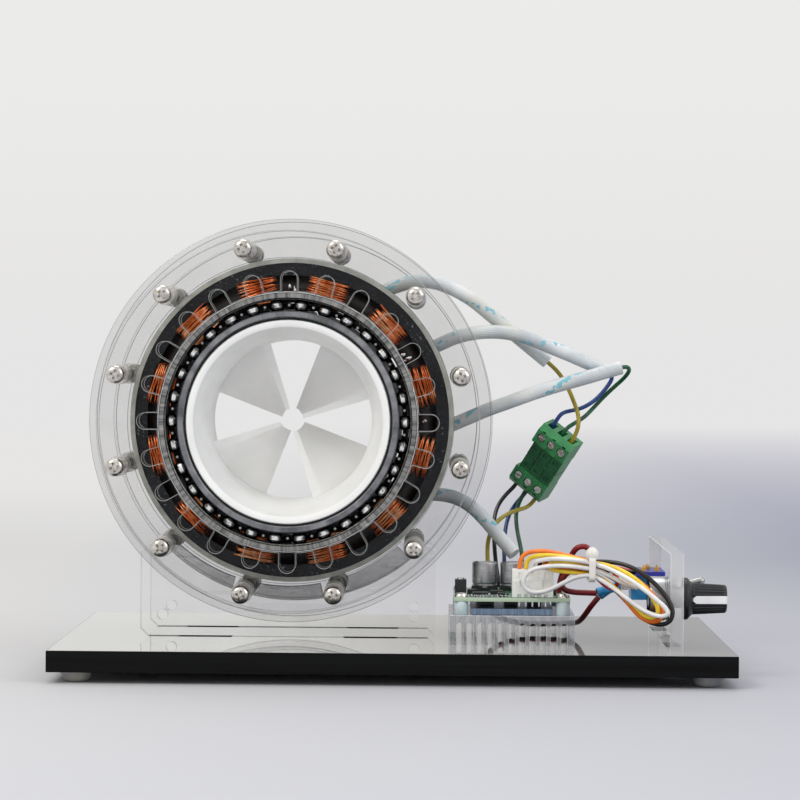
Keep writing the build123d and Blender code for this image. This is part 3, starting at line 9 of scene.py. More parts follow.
# %%
import math
import random

import bmesh
import bpy
from mathutils import Matrix, Vector


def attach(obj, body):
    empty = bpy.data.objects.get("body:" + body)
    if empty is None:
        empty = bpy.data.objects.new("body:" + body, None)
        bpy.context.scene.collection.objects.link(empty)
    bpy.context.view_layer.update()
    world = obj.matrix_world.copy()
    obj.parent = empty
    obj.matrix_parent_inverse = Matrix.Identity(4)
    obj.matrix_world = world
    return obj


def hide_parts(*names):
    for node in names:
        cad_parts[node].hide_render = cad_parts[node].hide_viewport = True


MM = 0.001
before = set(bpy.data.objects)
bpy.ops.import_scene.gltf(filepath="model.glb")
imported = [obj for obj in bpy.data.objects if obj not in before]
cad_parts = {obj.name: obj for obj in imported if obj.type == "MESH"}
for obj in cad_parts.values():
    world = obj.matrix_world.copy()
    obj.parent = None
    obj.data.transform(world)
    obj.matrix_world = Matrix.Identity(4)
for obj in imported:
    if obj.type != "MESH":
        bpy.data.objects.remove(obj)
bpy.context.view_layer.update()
scene = bpy.context.scene
print("nodes in the frame:", len(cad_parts))

# %% [markdown]
# ## Sizes shared by several pieces
#
# The motor's axis runs along Y, through (MOTOR_X, MOTOR_Z). The bearing is a common thin size of
# 80 x 100 x 10 mm, and the rest was measured against it.

# %%
MOTOR_X, MOTOR_Z = -41.0, 95.4
SCREW_CIRCLE, SCREW_COUNT, SCREW_START = 68.5, 12, 15.0
FRONT_FACE, BACK_FACE = -31.0, 38.0
BASE_TOP = 12.0
BOARD_TOP = 29.8
BALL_CIRCLE, BALL_COUNT, BALL_RADIUS = 44.75, 30, 3.0
TOOTH_COUNT, TOOTH_START = 12, 15.0

# %% [markdown]
# ## Camera
#
# A long lens about a metre away, as for a catalogue picture, keeps the motor's rings nearly round. The
# focal length is in pixels of an 800 pixel frame. The camera is turned and tipped by the pixels that
# bring the base's corners to their places.

# %%
SENSOR, FOCAL_PX, FRAME_PX = 36.0, 2722.0, 800.0
SHIFT_X_PX, SHIFT_Y_PX = 27.8, 46.1
YAW, PITCH, ROLL = math.atan(SHIFT_X_PX / FOCAL_PX), math.atan(SHIFT_Y_PX / FOCAL_PX), 0.0079
CAMERA_PLACE = (12.4, -1070.0, 121.8)

camera_data = bpy.data.cameras.new("camera")
camera_data.sensor_width = SENSOR
camera_data.lens = FOCAL_PX / FRAME_PX * SENSOR
camera_data.clip_start, camera_data.clip_end = 0.05, 50.0
camera = bpy.data.objects.new("camera", camera_data)
scene.collection.objects.link(camera)
camera.matrix_world = (
    Matrix.Translation(Vector(CAMERA_PLACE) * MM)
    @ Matrix.Rotation(YAW, 4, "Z")
    @ Matrix.Rotation(math.pi / 2 - PITCH, 4, "X")
    @ Matrix.Rotation(ROLL, 4, "Z")
)
scene.camera = camera
scene.view_settings.view_transform = "Standard"
print(f"lens {camera_data.lens:.1f} mm")

# %% [markdown]
# ## Colours and nodes
#
# Colours are written as the hex values of a screen, and one function turns them into linear light. A
# second one adds any node with its settings and links, so a material reads as a list of steps. A third
# starts a principled material.


# %%
def linear(code, alpha=1.0):
    """A hex colour such as 'e8e6e0' as linear red, green, blue and alpha."""
    channels = [int(code[i : i + 2], 16) / 255 for i in (0, 2, 4)]
    return [c / 12.92 if c <= 0.04045 else ((c + 0.055) / 1.055) ** 2.4 for c in channels] + [alpha]


def add_node(tree, kind, *inputs, out=0, stops=(), **values):
    """Adds a node, or fills one that is there, and returns its output called out.

    Inputs are set or linked in order, or by name or number. The other names are settings, and stops are
    a colour ramp's (place, hex colour or grey).
    """
    node = tree.nodes.new("ShaderNode" + kind) if isinstance(kind, str) else kind
    named = {}
    for name, value in values.items():
        if hasattr(node, name):
            setattr(node, name, value)
        else:
            named[int(name[3:]) if name.startswith("in_") else name.replace("_", " ")] = value
    for key, value in [*enumerate(inputs), *named.items()]:
        if isinstance(value, bpy.types.NodeSocket):
            tree.links.new(value, node.inputs[key])
        else:
            node.inputs[key].default_value = linear(value) if isinstance(value, str) else value
    if stops:
        marks = node.color_ramp.elements
        while len(marks) < len(stops):
            marks.new(0.5)
        for mark, (place, tone) in zip(marks, stops):
            mark.position = place
            mark.color = linear(tone) if isinstance(tone, str) else [tone] * 3 + [1.0]
    return node.outputs[out]


def material(name, roughness, metallic=0.0, **sockets):
    """A principled material. Returns it with its node tree and shader."""
    made = bpy.data.materials.new(name)
    made.use_nodes = True
    tree = made.node_tree
    shader = tree.nodes["Principled BSDF"]
    add_node(tree, shader, Roughness=roughness, Metallic=metallic, **sockets)
    return made, tree, shader


# %% [markdown]
# ## Grain
#
# Moulded nylon, rubber, zinc and cut metal all drift a little in tone. Noise in the piece's own
# coordinates does that without a picture. Its size is that of the real mark in millimetres: 1 to 3 mm
# for brushed or plated metal, 8 mm for the clouds in nylon. The real grain of cast and plated parts is
# finer than a pixel, so it is drawn as coarse as it needs to show.


# %%
def grain(tree, size, detail=3.0, stretch=None):
    """Noise with features of about size millimetres, squeezed along each axis by stretch."""
    place = add_node(tree, "TexCoord", out="Object")
    if stretch:
        place = add_node(tree, "Mapping", place, Scale=stretch)
    return add_node(tree, "TexNoise", Vector=place, Scale=1 / (size * MM), Detail=detail)


def mottled(name, dark, light, size, roughness, metallic=0.0, stretch=None, relief=0.0, **sockets):
    """A finish that drifts between two shades; the same grain raises it by relief millimetres."""
    made, tree, shader = material(name, roughness, metallic, **sockets)
    marks = grain(tree, size, stretch=stretch)
    add_node(tree, shader, Base_Color=add_node(tree, "ValToRGB", marks, stops=[(0.3, dark), (0.7, light)]))
    if relief:
        add_node(tree, shader, Normal=add_node(tree, "Bump", Height=marks, Distance=relief * MM,
                                               Strength=1.0))
    return made


# %% [markdown]
# ## Clear acrylic
#
# Cast acrylic sheet, laser cut. Refraction would cost many samples and show little at this size, so the
# sheet is thin paint on air: the broad faces are almost unseen, the cut edges are grey, and the narrow
# bevel between them is a denser line. That grey and that line are painted light, standing in for what a
# clear sheet bends and reflects at its edges, and a pale bevel line is a painted highlight. The face's
# direction picks the three.


# %%
def acrylic(name, axis, face, edge, rim, face_alpha, edge_alpha, rim_alpha):
    """Clear sheet whose broad faces lie across axis; each zone has a colour and an alpha."""
    made, tree, shader = material(name, 0.12, IOR=1.49)
    normal = add_node(tree, "NewGeometry", out="True Normal")
    part = add_node(tree, "SeparateXYZ", normal, out=axis)
    size = add_node(tree, "Math", part, operation="ABSOLUTE")
    cloud = grain(tree, 11.11, 4)
    places = (0.0, 0.25, 0.3, 0.93, 0.97, 1.0)
    # The edge and rim colours are painted light; a pale rim is a painted highlight
    colour = add_node(tree, "ValToRGB", size, stops=list(zip(places, (edge, edge, rim, rim, face, face))))
    alphas = (edge_alpha, edge_alpha, rim_alpha, rim_alpha, face_alpha, face_alpha)
    alpha = add_node(tree, "ValToRGB", size, stops=list(zip(places, alphas)))
    varied = add_node(tree, "Math", cloud, 0.06, -0.03, operation="MULTIPLY_ADD")
    total = add_node(tree, "Math", alpha, varied, operation="ADD")
    add_node(tree, shader, Base_Color=colour, Alpha=total)
    return made


# %% [markdown]
# ## Ground steel
#
# Bearing rings are ground while they turn, so their marks follow the ring. The noise is read by angle
# and depth in place of x, y and z. The real marks are finer than a pixel and are drawn coarser.


# %%
def turned_steel(name, dark, light, roughness, strokes_per_turn, relief):
    """Steel ground round the motor's axis."""
    made, tree, shader = material(name, roughness, 1.0)
    place = add_node(tree, "TexCoord", out="Object")
    centre = (MOTOR_X * MM, 0, MOTOR_Z * MM)
    away = add_node(tree, "VectorMath", place, centre, operation="SUBTRACT")
    x, y, z = add_node(tree, "SeparateXYZ", away).node.outputs
    angle = add_node(tree, "Math", z, x, operation="ARCTAN2")
    strokes = add_node(tree, "CombineXYZ", X=angle, Y=y)
    spread = add_node(tree, "Mapping", strokes, Scale=(strokes_per_turn / math.tau, 2400.0, 1.0))
    marks = add_node(tree, "TexNoise", Vector=spread, Scale=1.0, Detail=5.0)
    tone = add_node(tree, "ValToRGB", marks, stops=[(0.3, dark), (0.72, light)])
    rough = add_node(tree, "Math", marks, 0.3, roughness - 0.1, operation="MULTIPLY_ADD")
    lift = add_node(tree, "Bump", Height=marks, Distance=relief * MM, Strength=1.0)
    add_node(tree, shader, Base_Color=tone, Roughness=rough, Normal=lift)
    return made


# %% [markdown]
# ## Sleeving
#
# Glass-fibre sleeving under varnish: 22 fine strands run lengthwise, the varnish has yellowed in
# patches, and a blue-green tracer thread winds round and shows in places. The curve's own coordinates
# run along it and around it, which is what a thread follows.


# %%
def sleeving(name):
    made, tree, shader = material(name, 0.45)
    place = add_node(tree, "TexCoord", out="UV")
    along, around = add_node(tree, "SeparateXYZ", place).node.outputs[:2]
    tones = [(0.3, "bcc3c8"), (0.5, "d3d8db"), (0.7, "e6e9e9")]
    base = add_node(tree, "ValToRGB", grain(tree, 14.29, 3), stops=tones)
    angle = add_node(tree, "Math", around, 22 * math.tau, operation="MULTIPLY")
    strands = add_node(tree, "Math", angle, operation="SINE")
    # Painted shade: each strand's colour darkens a little towards the grooves between strands
    shade = add_node(tree, "Math", strands, 0.05, 0.96, operation="MULTIPLY_ADD")
    toned = add_node(tree, "VectorMath", base, operation="SCALE", Scale=shade)
    patch = add_node(tree, "ValToRGB", grain(tree, 41.67, 2), stops=[(0.52, 0.0), (0.68, 0.5)])
    varnish = add_node(tree, "Mix", patch, out=2, data_type="RGBA", in_6=toned, in_7="dcd8bc")
    slant = add_node(tree, "Math", along, 1.7, around, operation="MULTIPLY_ADD")
    wound = add_node(tree, "Math", slant, operation="FRACT")
    off = add_node(tree, "Math", wound, 0.5, operation="SUBTRACT")
    near = add_node(tree, "Math", off, operation="ABSOLUTE")
    thread = add_node(tree, "Math", near, 0.07, operation="LESS_THAN")
    fleck = add_node(tree, "Math", grain(tree, 2.381, 2), 0.52, operation="GREATER_THAN")
    mask = add_node(tree, "Math", thread, fleck, operation="MULTIPLY")
    colour = add_node(tree, "Mix", mask, out=2, data_type="RGBA", in_6=varnish, in_7="7fbccb")
    lift = add_node(tree, "Bump", Height=strands, Distance=0.03 * MM, Strength=1.0)
    add_node(tree, shader, Base_Color=colour, Normal=lift)
    return made


# %% [markdown]
# ## Printed plastic
#
# The rotor is printed in layers of 0.2 mm, so a sine wave of that pitch along its axis is its relief.


# %%
def printed(name, dark, light, roughness, pitch, axis, **sockets):
    made, tree, shader = material(name, roughness, **sockets)
    place = add_node(tree, "TexCoord", out="Object")
    part = add_node(tree, "SeparateXYZ", place, out=axis)
    turns = add_node(tree, "Math", part, math.tau / (pitch * MM), operation="MULTIPLY")
    lines = add_node(tree, "Math", turns, operation="SINE")
    tone = add_node(tree, "ValToRGB", grain(tree, 18.18, 3), stops=[(0.3, dark), (0.7, light)])
    add_node(tree, shader, Base_Color=tone,
             Normal=add_node(tree, "Bump", Height=lines, Distance=0.02 * MM, Strength=1.0))
    return made


# %% [markdown]
# ## Enamelled copper
#
# Magnet wire is copper under clear enamel: orange where it turns to the light and dark red between the
# strands. Two noises, 2.4 and 17 mm, vary it from strand to strand and from coil to coil.


# %%
def copper(name):
    made, tree, shader = material(name, 0.3, 0.85, Coat_Weight=0.4, Coat_Roughness=0.15)
    fine = add_node(tree, "Math", grain(tree, 2.381, 4), 0.6, -0.1, operation="MULTIPLY_ADD")
    both = add_node(tree, "Math", grain(tree, 16.67, 2), 0.6, fine, operation="MULTIPLY_ADD")
    stops = [(0.3, "a8421a"), (0.44, "ea7232"), (0.55, "fb9a5c"), (0.68, "ffcfa6")]
    add_node(tree, shader, Base_Color=add_node(tree, "ValToRGB", both, stops=stops))
    return made


# %% [markdown]
# ## Circuit board
#
# Green lacquer lies over copper tracks. A brick pattern of 3.8 mm stands for the tracks, because its
# joints cross at right angles as tracks do, and the sawn edges are pale glass fibre.


# %%
def circuit(name):
    made, tree, shader = material(name, 0.28, Coat_Weight=0.5, Coat_Roughness=0.1)
    place = add_node(tree, "TexCoord", out="Object")
    tracks = add_node(tree, "TexBrick", place, Scale=1 / (3.846 * MM), Mortar_Size=0.035,
                      Color1="1c6b45", Color2="175c3b", Mortar="3f9468")
    normal = add_node(tree, "NewGeometry", out="True Normal")
    up = add_node(tree, "SeparateXYZ", normal, out="Z")
    flat = add_node(tree, "Math", up, operation="ABSOLUTE")
    edge = add_node(tree, "Math", flat, 0.5, operation="LESS_THAN")
    colour = add_node(tree, "Mix", edge, out=2, data_type="RGBA", in_6=tracks, in_7="b9cdb2")
    lift = add_node(tree, "Bump", Height=tracks.node.outputs["Fac"], Distance=-0.04 * MM, Strength=1.0)
    add_node(tree, shader, Base_Color=colour, Normal=lift)
    return made


# %% [markdown]
# ## Polished black acrylic
#
# The base is a black mirror at a low angle. Layer Weight gives that: its fourth power takes over where
# the view is grazing. Faint dust and haze show that it is a real, handled surface.


# %%
def glossy_black(name):
    made, tree, shader = material(name, 0.05, IOR=1.49)
    facing = add_node(tree, "LayerWeight", Blend=0.5, out="Facing")
    mirror = add_node(tree, "Math", facing, 4.0, operation="POWER")
    stops = [(0.0, "0b0b0c"), (0.74, "0c0c0d"), (0.8, "3a3a3c")]
    dust = add_node(tree, "ValToRGB", grain(tree, 0.7143, 2), stops=stops)
    colour = add_node(tree, "Mix", mirror, out=2, data_type="RGBA", in_6=dust, in_7="efeeec")
    rough = add_node(tree, "Math", grain(tree, 71.43, 4), 0.05, 0.01, operation="MULTIPLY_ADD")
    add_node(tree, shader, Metallic=mirror, Base_Color=colour, Roughness=rough)
    return made


# %% [markdown]
# ## Bearing cage and varnished caps
#
# The pressed cage is painted bright where it bows over the balls, a painted highlight, and dark between
# them, a painted dark reflection, so its tone follows the distance from the middle of the bearing. The
# caps are blue-black print under varnish, with dust and a few smears, which are painted highlights on
# the varnish.

# %%
BEARING_MIDDLES = (-26.0, 33.0)


def cage_steel(name):
    made, tree, shader = material(name, 0.25, 1.0)
    place = add_node(tree, "TexCoord", out="Object")
    depth = add_node(tree, "SeparateXYZ", place, out="Y")
    lifts = []
    for middle in BEARING_MIDDLES:
        away = add_node(tree, "Math", depth, middle * MM, operation="SUBTRACT")
        lifts.append(add_node(tree, "Math", away, operation="ABSOLUTE"))
    lift = add_node(tree, "Math", *lifts, operation="MINIMUM")
    # Painted light: the highest part of each bow is a painted highlight and the flats a painted dark
    # reflection; the noise only breaks it up
    highlight_breakup = add_node(tree, "Math", grain(tree, 1.429, 3), 0.25, operation="MULTIPLY")
    both = add_node(tree, "Math", lift, 228.0, highlight_breakup, operation="MULTIPLY_ADD")
    stops = [(0.3, "111111"), (0.84, "1e1e1e"), (0.95, "6a6a69"), (1.0, "f0f0ee")]
    add_node(tree, shader, Base_Color=add_node(tree, "ValToRGB", both, stops=stops))
    return made


def specked_black(name):
    made, tree, shader = material(name, 0.34, Coat_Weight=0.15, Coat_Roughness=0.1, IOR=1.3)
    smeared_sheen = grain(tree, 14.29, 4)
    dust = add_node(tree, "Math", grain(tree, 1.111, 2), 0.65, operation="MULTIPLY")
    # Lighter where the smear noise is high: painted highlights on the varnish; the fine pale specks are dust
    both = add_node(tree, "Math", smeared_sheen, 0.35, dust, operation="MULTIPLY_ADD")
    stops = [(0.3, "07080a"), (0.52, "101217"), (0.62, "22262d"), (0.68, "8d9096")]
    lift = add_node(tree, "Bump", Height=smeared_sheen, Distance=0.2 * MM, Strength=1.0)
    add_node(tree, shader, Base_Color=add_node(tree, "ValToRGB", both, stops=stops), Normal=lift)
    return made


# %% [markdown]
# ## The finishes
#
# Each finish is named for the real material and how it was made. A mottled one gives its two shades,
# the size of its marks in millimetres, its roughness, and 1.0 where it is bare metal. Nylon and rubber
# let a little light in. Metals keep the default index of refraction.

# %%
SOFT_LIGHT = {"Subsurface_Scale": 0.003}
M = {
    # A deep mirror on top, and dull sawn sides
    "base": glossy_black("black_acrylic"),
    "base_edge": mottled("cut_black_edge", "050506", "101112", 25, 0.35, stretch=(0.2, 0.2, 14), IOR=1.2),
    # Cloudy feet, with a little light inside
    "rubber": mottled("milky_rubber", "7b8190", "a9a79c", 11.11, 0.28, relief=0.01,
                      Subsurface_Weight=0.3, Subsurface_Scale=0.004),
    # Clear sheet: faces almost unseen, grey cut edges, and a denser line where they meet; the grey and the
    # line are painted light
    "plate": acrylic("clear_plate", "Y", "6a6b6a", "b4b6b4", "a4a6a4", 0.014, 0.16, 0.8),
    "ring": acrylic("housing_acrylic", "Y", "6f6f6d", "a9aaa7", "8b8c89", 0.12, 0.16, 0.6),
    # A band that scatters light softly
    "frost": mottled("frosted_wall", "a9aaa2", "c8c9c1", 4.167, 0.5, relief=0.02),
    # Stand, riser and panel: the same painted edge grey, and the pale rims of riser and panel are painted
    # highlights
    "stand": acrylic("stand_acrylic", "Y", "8a8b8a", "9a9c9b", "7d807e", 0.02, 0.35, 0.7),
    "riser": acrylic("riser_acrylic", "Y", "b4b9c1", "77808c", "e8ecf0", 0.42, 0.55, 0.75),
    "panel": acrylic("panel_acrylic", "X", "d8d9dc", "d3d3d6", "f0f0f1", 0.16, 0.6, 0.85),
    # Milky white with soft shadows, and the spacers let light through
    "nylon": mottled("white_nylon", "dcd9d2", "efece7", 8.333, 0.42, relief=0.01, Subsurface_Weight=0.2,
                     **SOFT_LIGHT),
    "spacer": mottled("clear_nylon", "dcd9d2", "efece7", 8.333, 0.3, Alpha=0.5),
    "nylon_blue": mottled("milky_nylon", "c3d3d9", "dbe7ea", 8.333, 0.4, Subsurface_Weight=0.3, **SOFT_LIGHT),
    # Small sharp glints, and dark where metal mirrors the dark base
    "screw": mottled("bright_screw", "b9b2a8", "e9e6e2", 1.429, 0.2, 1.0, relief=0.01),
    "steel": mottled("satin_steel", "8e8e8d", "c4c4c3", 2, 0.3, 1.0, stretch=(1, 6, 1), relief=0.01),
    # Streaks of light that follow the turn
    "ring_steel": turned_steel("ground_steel", "525251", "b3b2af", 0.3, 260, 0.02),
    "race_steel": turned_steel("polished_race", "626367", "a6a7aa", 0.22, 40, 0.0),
    # Each ball mirrors the room in one bright dot, and its dark grey is painted for the dark room that it
    # mirrors; the near-white rims on the rings are painted highlights
    "ball": mottled("polished_ball", "3a3a3c", "6c6c6f", 3.333, 0.08, 1.0),
    "bright": mottled("bright_edge", "d6d6d6", "f6f6f6", 2.5, 0.16, 1.0),
    # Painted highlights on the bows over painted dark reflection in the gaps
    "cage": cage_steel("cage_steel"),
    # Painted shade behind the coils: almost black, so that the copper stands out
    "slot": mottled("slot_painted_shade", "0d0b0b", "241512", 2, 0.5, relief=0.02),
    # Matt and even, with faint layer lines
    "print": printed("printed_white", "efefed", "fbfbfa", 0.55, 0.2, "Y", Subsurface_Weight=0.08,
                     Subsurface_Scale=0.002),
    # Four kinds of dark: satin tube, layered core, varnished caps, plated magnets
    "tube": mottled("black_tube", "0c0c0d", "232325", 5, 0.25, 0.6, stretch=(1, 8, 1)),
    "core": mottled("laminated_core", "232326", "3f4044", 1.111, 0.4, 0.7, stretch=(0.1, 3, 0.1),
                    relief=0.02),
    "cap": specked_black("black_print"),
    "magnet": mottled("nickel_magnet", "77797c", "a5a6a8", 5, 0.25, 1.0),
    # Orange glints against dark red gaps
    "copper": copper("enamelled_copper"),
    # Bright, uneven blobs
    "solder": mottled("solder", "b5b6b8", "eceded", 0.8333, 0.2, 1.0, relief=0.03),
    # Green lacquer, matt black cases, brushed cans, a blue-grey strip and cream sockets
    "board": circuit("green_board"),
    "chip": mottled("moulded_chip", "151517", "26272a", 1.111, 0.45, relief=0.01),
    "can": mottled("aluminium_can", "97989b", "b3b4b7", 5, 0.34, 1.0, stretch=(1, 1, 5), relief=0.01),
    "spreader": mottled("anodised_plate", "5d6f86", "8fa3b8", 6.25, 0.3, 0.9, stretch=(14, 1, 1)),
    "header": mottled("cream_nylon", "eeece6", "faf9f5", 5, 0.45, relief=0.01, Subsurface_Weight=0.15,
                      Subsurface_Scale=0.002),
    # Soft black, so that the flutes show, with a white line in it
    "knob": mottled("black_knob", "0e0f11", "1f2125", 2, 0.4, relief=0.02),
    "white": mottled("white_inlay", "e6e6ea", "f6f6f8", 5, 0.4),
    # Small coloured parts, flat and slightly shiny
    "blue": mottled("blue_board", "20288c", "3540b8", 5.556, 0.35),
    "sky": mottled("blue_case", "1c74b4", "3ea2dc", 5.556, 0.35),
    "brown": mottled("brown_wafer", "5b3a22", "7a4f2e", 3.333, 0.5, relief=0.01),
    "gold": mottled("gilt_lug", "a98a3c", "d8bd6c", 2, 0.25, 1.0),
    "amber": mottled("resistor_body", "b8842e", "dcae5a", 3.333, 0.4),
    # A strong green, and a darker copy of it that is painted shade on the recessed neck
    "green": mottled("green_terminal", "27703f", "3d9458", 7.692, 0.4, relief=0.02,
                     Subsurface_Weight=0.05, Subsurface_Scale=0.002),
    "deep_green": mottled("green_neck_painted_shade", "174a2c", "24663d", 7.692, 0.42, relief=0.02),
    "dark": mottled("dark_recess", "06120a", "0d1d12", 3.333, 0.7),
    # Pale threads, glossy blue and deep red
    "sleeve": sleeving("glass_sleeve"),
    "shrink": mottled("blue_shrink", "1d7fc0", "43a6e0", 3.846, 0.36, relief=0.03),
    "red_lead": mottled("red_silicone", "64080e", "8d1a20", 3.846, 0.38, relief=0.01),
}
WIRE_COLOURS = {
    "orange": ("e86c10", "f98a2e"), "yellow": ("e6bd1a", "f8da45"), "white": ("dcdbdc", "f4f4f4"),
    "black": ("0e0e10", "1f2023"), "red": ("b80f18", "e02a2a"), "dull_yellow": ("857616", "a8982a"),
    "deep_blue": ("0b2a5e", "17458f"), "deep_green": ("083821", "14603a"),
}
for wire_name, (wire_dark, wire_light) in WIRE_COLOURS.items():
    M["wire_" + wire_name] = mottled("wire_" + wire_name, wire_dark, wire_light, 6.25, 0.3, relief=0.01)
print("finishes:", len(M))

# %% [markdown]
# ## Building blocks
#
# A shape is a list of corners and a list of faces, in millimetres. Shapes are turned, moved, repeated
# and then gathered into one piece, each with its own material. Plain lists are easy to check and change,
# and no editing tool or selection is needed to make them.


# %%
def moved(shape, matrix):
    corners, faces = shape
    return [matrix @ Vector(corner) for corner in corners], faces


def merged(shapes):
    corners, faces = [], []
    for part_corners, part_faces in shapes:
        start = len(corners)
        corners += part_corners
        faces += [tuple(start + index for index in face) for face in part_faces]
    return corners, faces


def repeated(shape, matrices):
    return merged([moved(shape, matrix) for matrix in matrices])


def at(x=0.0, y=0.0, z=0.0):
    return Matrix.Translation((x, y, z))


def turn(degrees, axis):
    return Matrix.Rotation(math.radians(degrees), 4, axis)


# Local x runs right, local y up and local z towards the front, from the motor's axis at y = 0
MOTOR = at(MOTOR_X, 0, MOTOR_Z) @ turn(90, "X")


def around_motor(count, start=0.0, radius=0.0, z=0.0):
    """Matrices that repeat a local shape round the motor's axis."""
    return [MOTOR @ turn(start + 360.0 * i / count, "Z") @ at(radius, 0, z) for i in range(count)]


# %% [markdown]
# ## Turned, boxed and bent shapes
#
# Most pieces of a motor are turned, so the lathe spins a closed profile of radius and height round
# local Z. A screw modifier does the same, but a plain function needs no object. Boxes, raised
# outlines, balls and round tubes cover nearly everything else.


# %%
def lathe(profile, segments=64, start=0.0):
    """A closed profile of (radius, height) turned about local Z."""
    corners, rows, faces = [], [], []
    for radius, height in profile:
        if radius < 1e-6:
            rows.append([len(corners)] * segments)
            corners.append((0.0, 0.0, height))
            continue
        rows.append([len(corners) + i for i in range(segments)])
        for i in range(segments):
            angle = start + math.tau * i / segments
            corners.append((radius * math.cos(angle), radius * math.sin(angle), height))
    for low, high in zip(rows, rows[1:] + rows[:1]):
        for i in range(segments):
            j = (i + 1) % segments
            face = list(dict.fromkeys((low[i], low[j], high[j], high[i])))
            if len(face) > 2:
                faces.append(tuple(face))
    return corners, faces


def block(size, centre=(0, 0, 0)):
    """A box."""
    half = [s / 2 for s in size]
    signs = [(x, y, z) for z in (-1, 1) for y in (-1, 1) for x in (-1, 1)]
    corners = [tuple(c + h * s for c, h, s in zip(centre, half, sign)) for sign in signs]
    return corners, [(0, 2, 3, 1), (4, 5, 7, 6), (0, 1, 5, 4), (2, 6, 7, 3), (0, 4, 6, 2), (1, 3, 7, 5)]


def prism(outline, low, high):
    """A flat outline raised from low to high along local Z."""
    count = len(outline)
    corners = [(x, y, z) for z in (low, high) for x, y in outline]
    faces = [tuple(reversed(range(count))), tuple(range(count, 2 * count))]
    faces += [(i, (i + 1) % count, count + (i + 1) % count, count + i) for i in range(count)]
    return corners, faces


def ball(radius, segments=20, rings=12):
    profile = [(radius * math.sin(math.pi * i / rings), -radius * math.cos(math.pi * i / rings))
               for i in range(rings + 1)]
    profile[0], profile[-1] = (0.0, -radius), (0.0, radius)
    corners, faces = lathe(profile, segments)
    return corners, [face for face in faces if len(set(face)) > 2]


def tube(points, radius, sides=6, closed=False):
    """A round tube along points; its frame is carried along from the first run."""
    places = [Vector(point) for point in points]
    count = len(places)
    ahead = [(places[(i + 1) % count] if closed or i < count - 1 else places[i]) for i in range(count)]
    behind = [(places[i - 1] if closed or i else places[i]) for i in range(count)]
    side = None
    corners, faces = [], []
    for place, before, after in zip(places, behind, ahead):
        along = (after - before).normalized()
        if side is None:
            side = along.orthogonal().normalized()
        side = (side - along * side.dot(along)).normalized()
        other = along.cross(side)
        for i in range(sides):
            angle = math.tau * i / sides
            corners.append(tuple(place + radius * (math.cos(angle) * side + math.sin(angle) * other)))
    for row in range(count if closed else count - 1):
        low, high = row * sides, (row + 1) % count * sides
        faces += [(low + i, low + (i + 1) % sides, high + (i + 1) % sides, high + i) for i in range(sides)]
    if not closed:
        faces += [tuple(reversed(range(sides))), tuple(range((count - 1) * sides, count * sides))]
    return corners, faces


def circle(radius, count=64, centre=(0.0, 0.0)):
    return [(centre[0] + radius * math.cos(math.tau * i / count),
             centre[1] + radius * math.sin(math.tau * i / count)) for i in range(count)]


# %% [markdown]
# ## Sheets and cuts
#
# Cut sheet has holes, and a filled 2D curve makes them well: it takes an outline and its holes, and
# its bevel is the fine edge that a laser leaves. Recesses are cut with an exact boolean on a hidden
# object, whose result is read back as plain corners and faces.


# %%
def raw_mesh(shape, name="shape"):
    data = bpy.data.meshes.new(name)
    data.from_pydata([tuple(corner) for corner in shape[0]], [], shape[1])
    return data


def shape_of(data):
    return [tuple(v.co) for v in data.vertices], [tuple(p.vertices) for p in data.polygons]


def evaluated(thing):
    """The shape of a temporary object with its modifiers, or of a curve; the object is removed."""
    scene.collection.objects.link(thing)
    graph = bpy.context.evaluated_depsgraph_get()
    data = bpy.data.meshes.new_from_object(thing.evaluated_get(graph))
    shape = shape_of(data)
    bpy.data.objects.remove(thing)
    return shape


def sheet_shape(loops, low, high, rim=0.25):
    """A flat sheet from low to high along local Z: the first loop is its outline, the rest are holes."""
    data = bpy.data.curves.new("sheet", "CURVE")
    data.dimensions, data.fill_mode = "2D", "BOTH"
    data.extrude, data.bevel_depth, data.offset = (high - low) / 2 - rim, rim, -rim
    data.bevel_resolution = 1
    for loop in loops:
        spline = data.splines.new("POLY")
        spline.points.add(len(loop) - 1)
        for point, (x, y) in zip(spline.points, loop):
            point.co = (x, y, 0, 1)
        spline.use_cyclic_u = True
    return moved(evaluated(bpy.data.objects.new("sheet", data)), at(z=(low + high) / 2))


def carved(shape, *cutters):
    """A shape with other shapes cut out of it."""
    thing = bpy.data.objects.new("carved", raw_mesh(shape))
    tools = []
    for cutter in cutters:
        tool = bpy.data.objects.new("cutter", raw_mesh(cutter))
        scene.collection.objects.link(tool)
        tools.append(tool)
        cut = thing.modifiers.new("cut", "BOOLEAN")
        cut.operation, cut.solver, cut.object = "DIFFERENCE", "EXACT", tool
    result = evaluated(thing)
    for tool in tools:
        bpy.data.objects.remove(tool)
    return result


# %% [markdown]
# ## One named piece
#
# A piece is one object: its faces point outwards, its doubled corners are joined, and it shades
# smoothly up to an angle. Real edges are never sharp, so a small bevel can be added to catch the
# light. It rides on a body of the frame, so it moves with it.


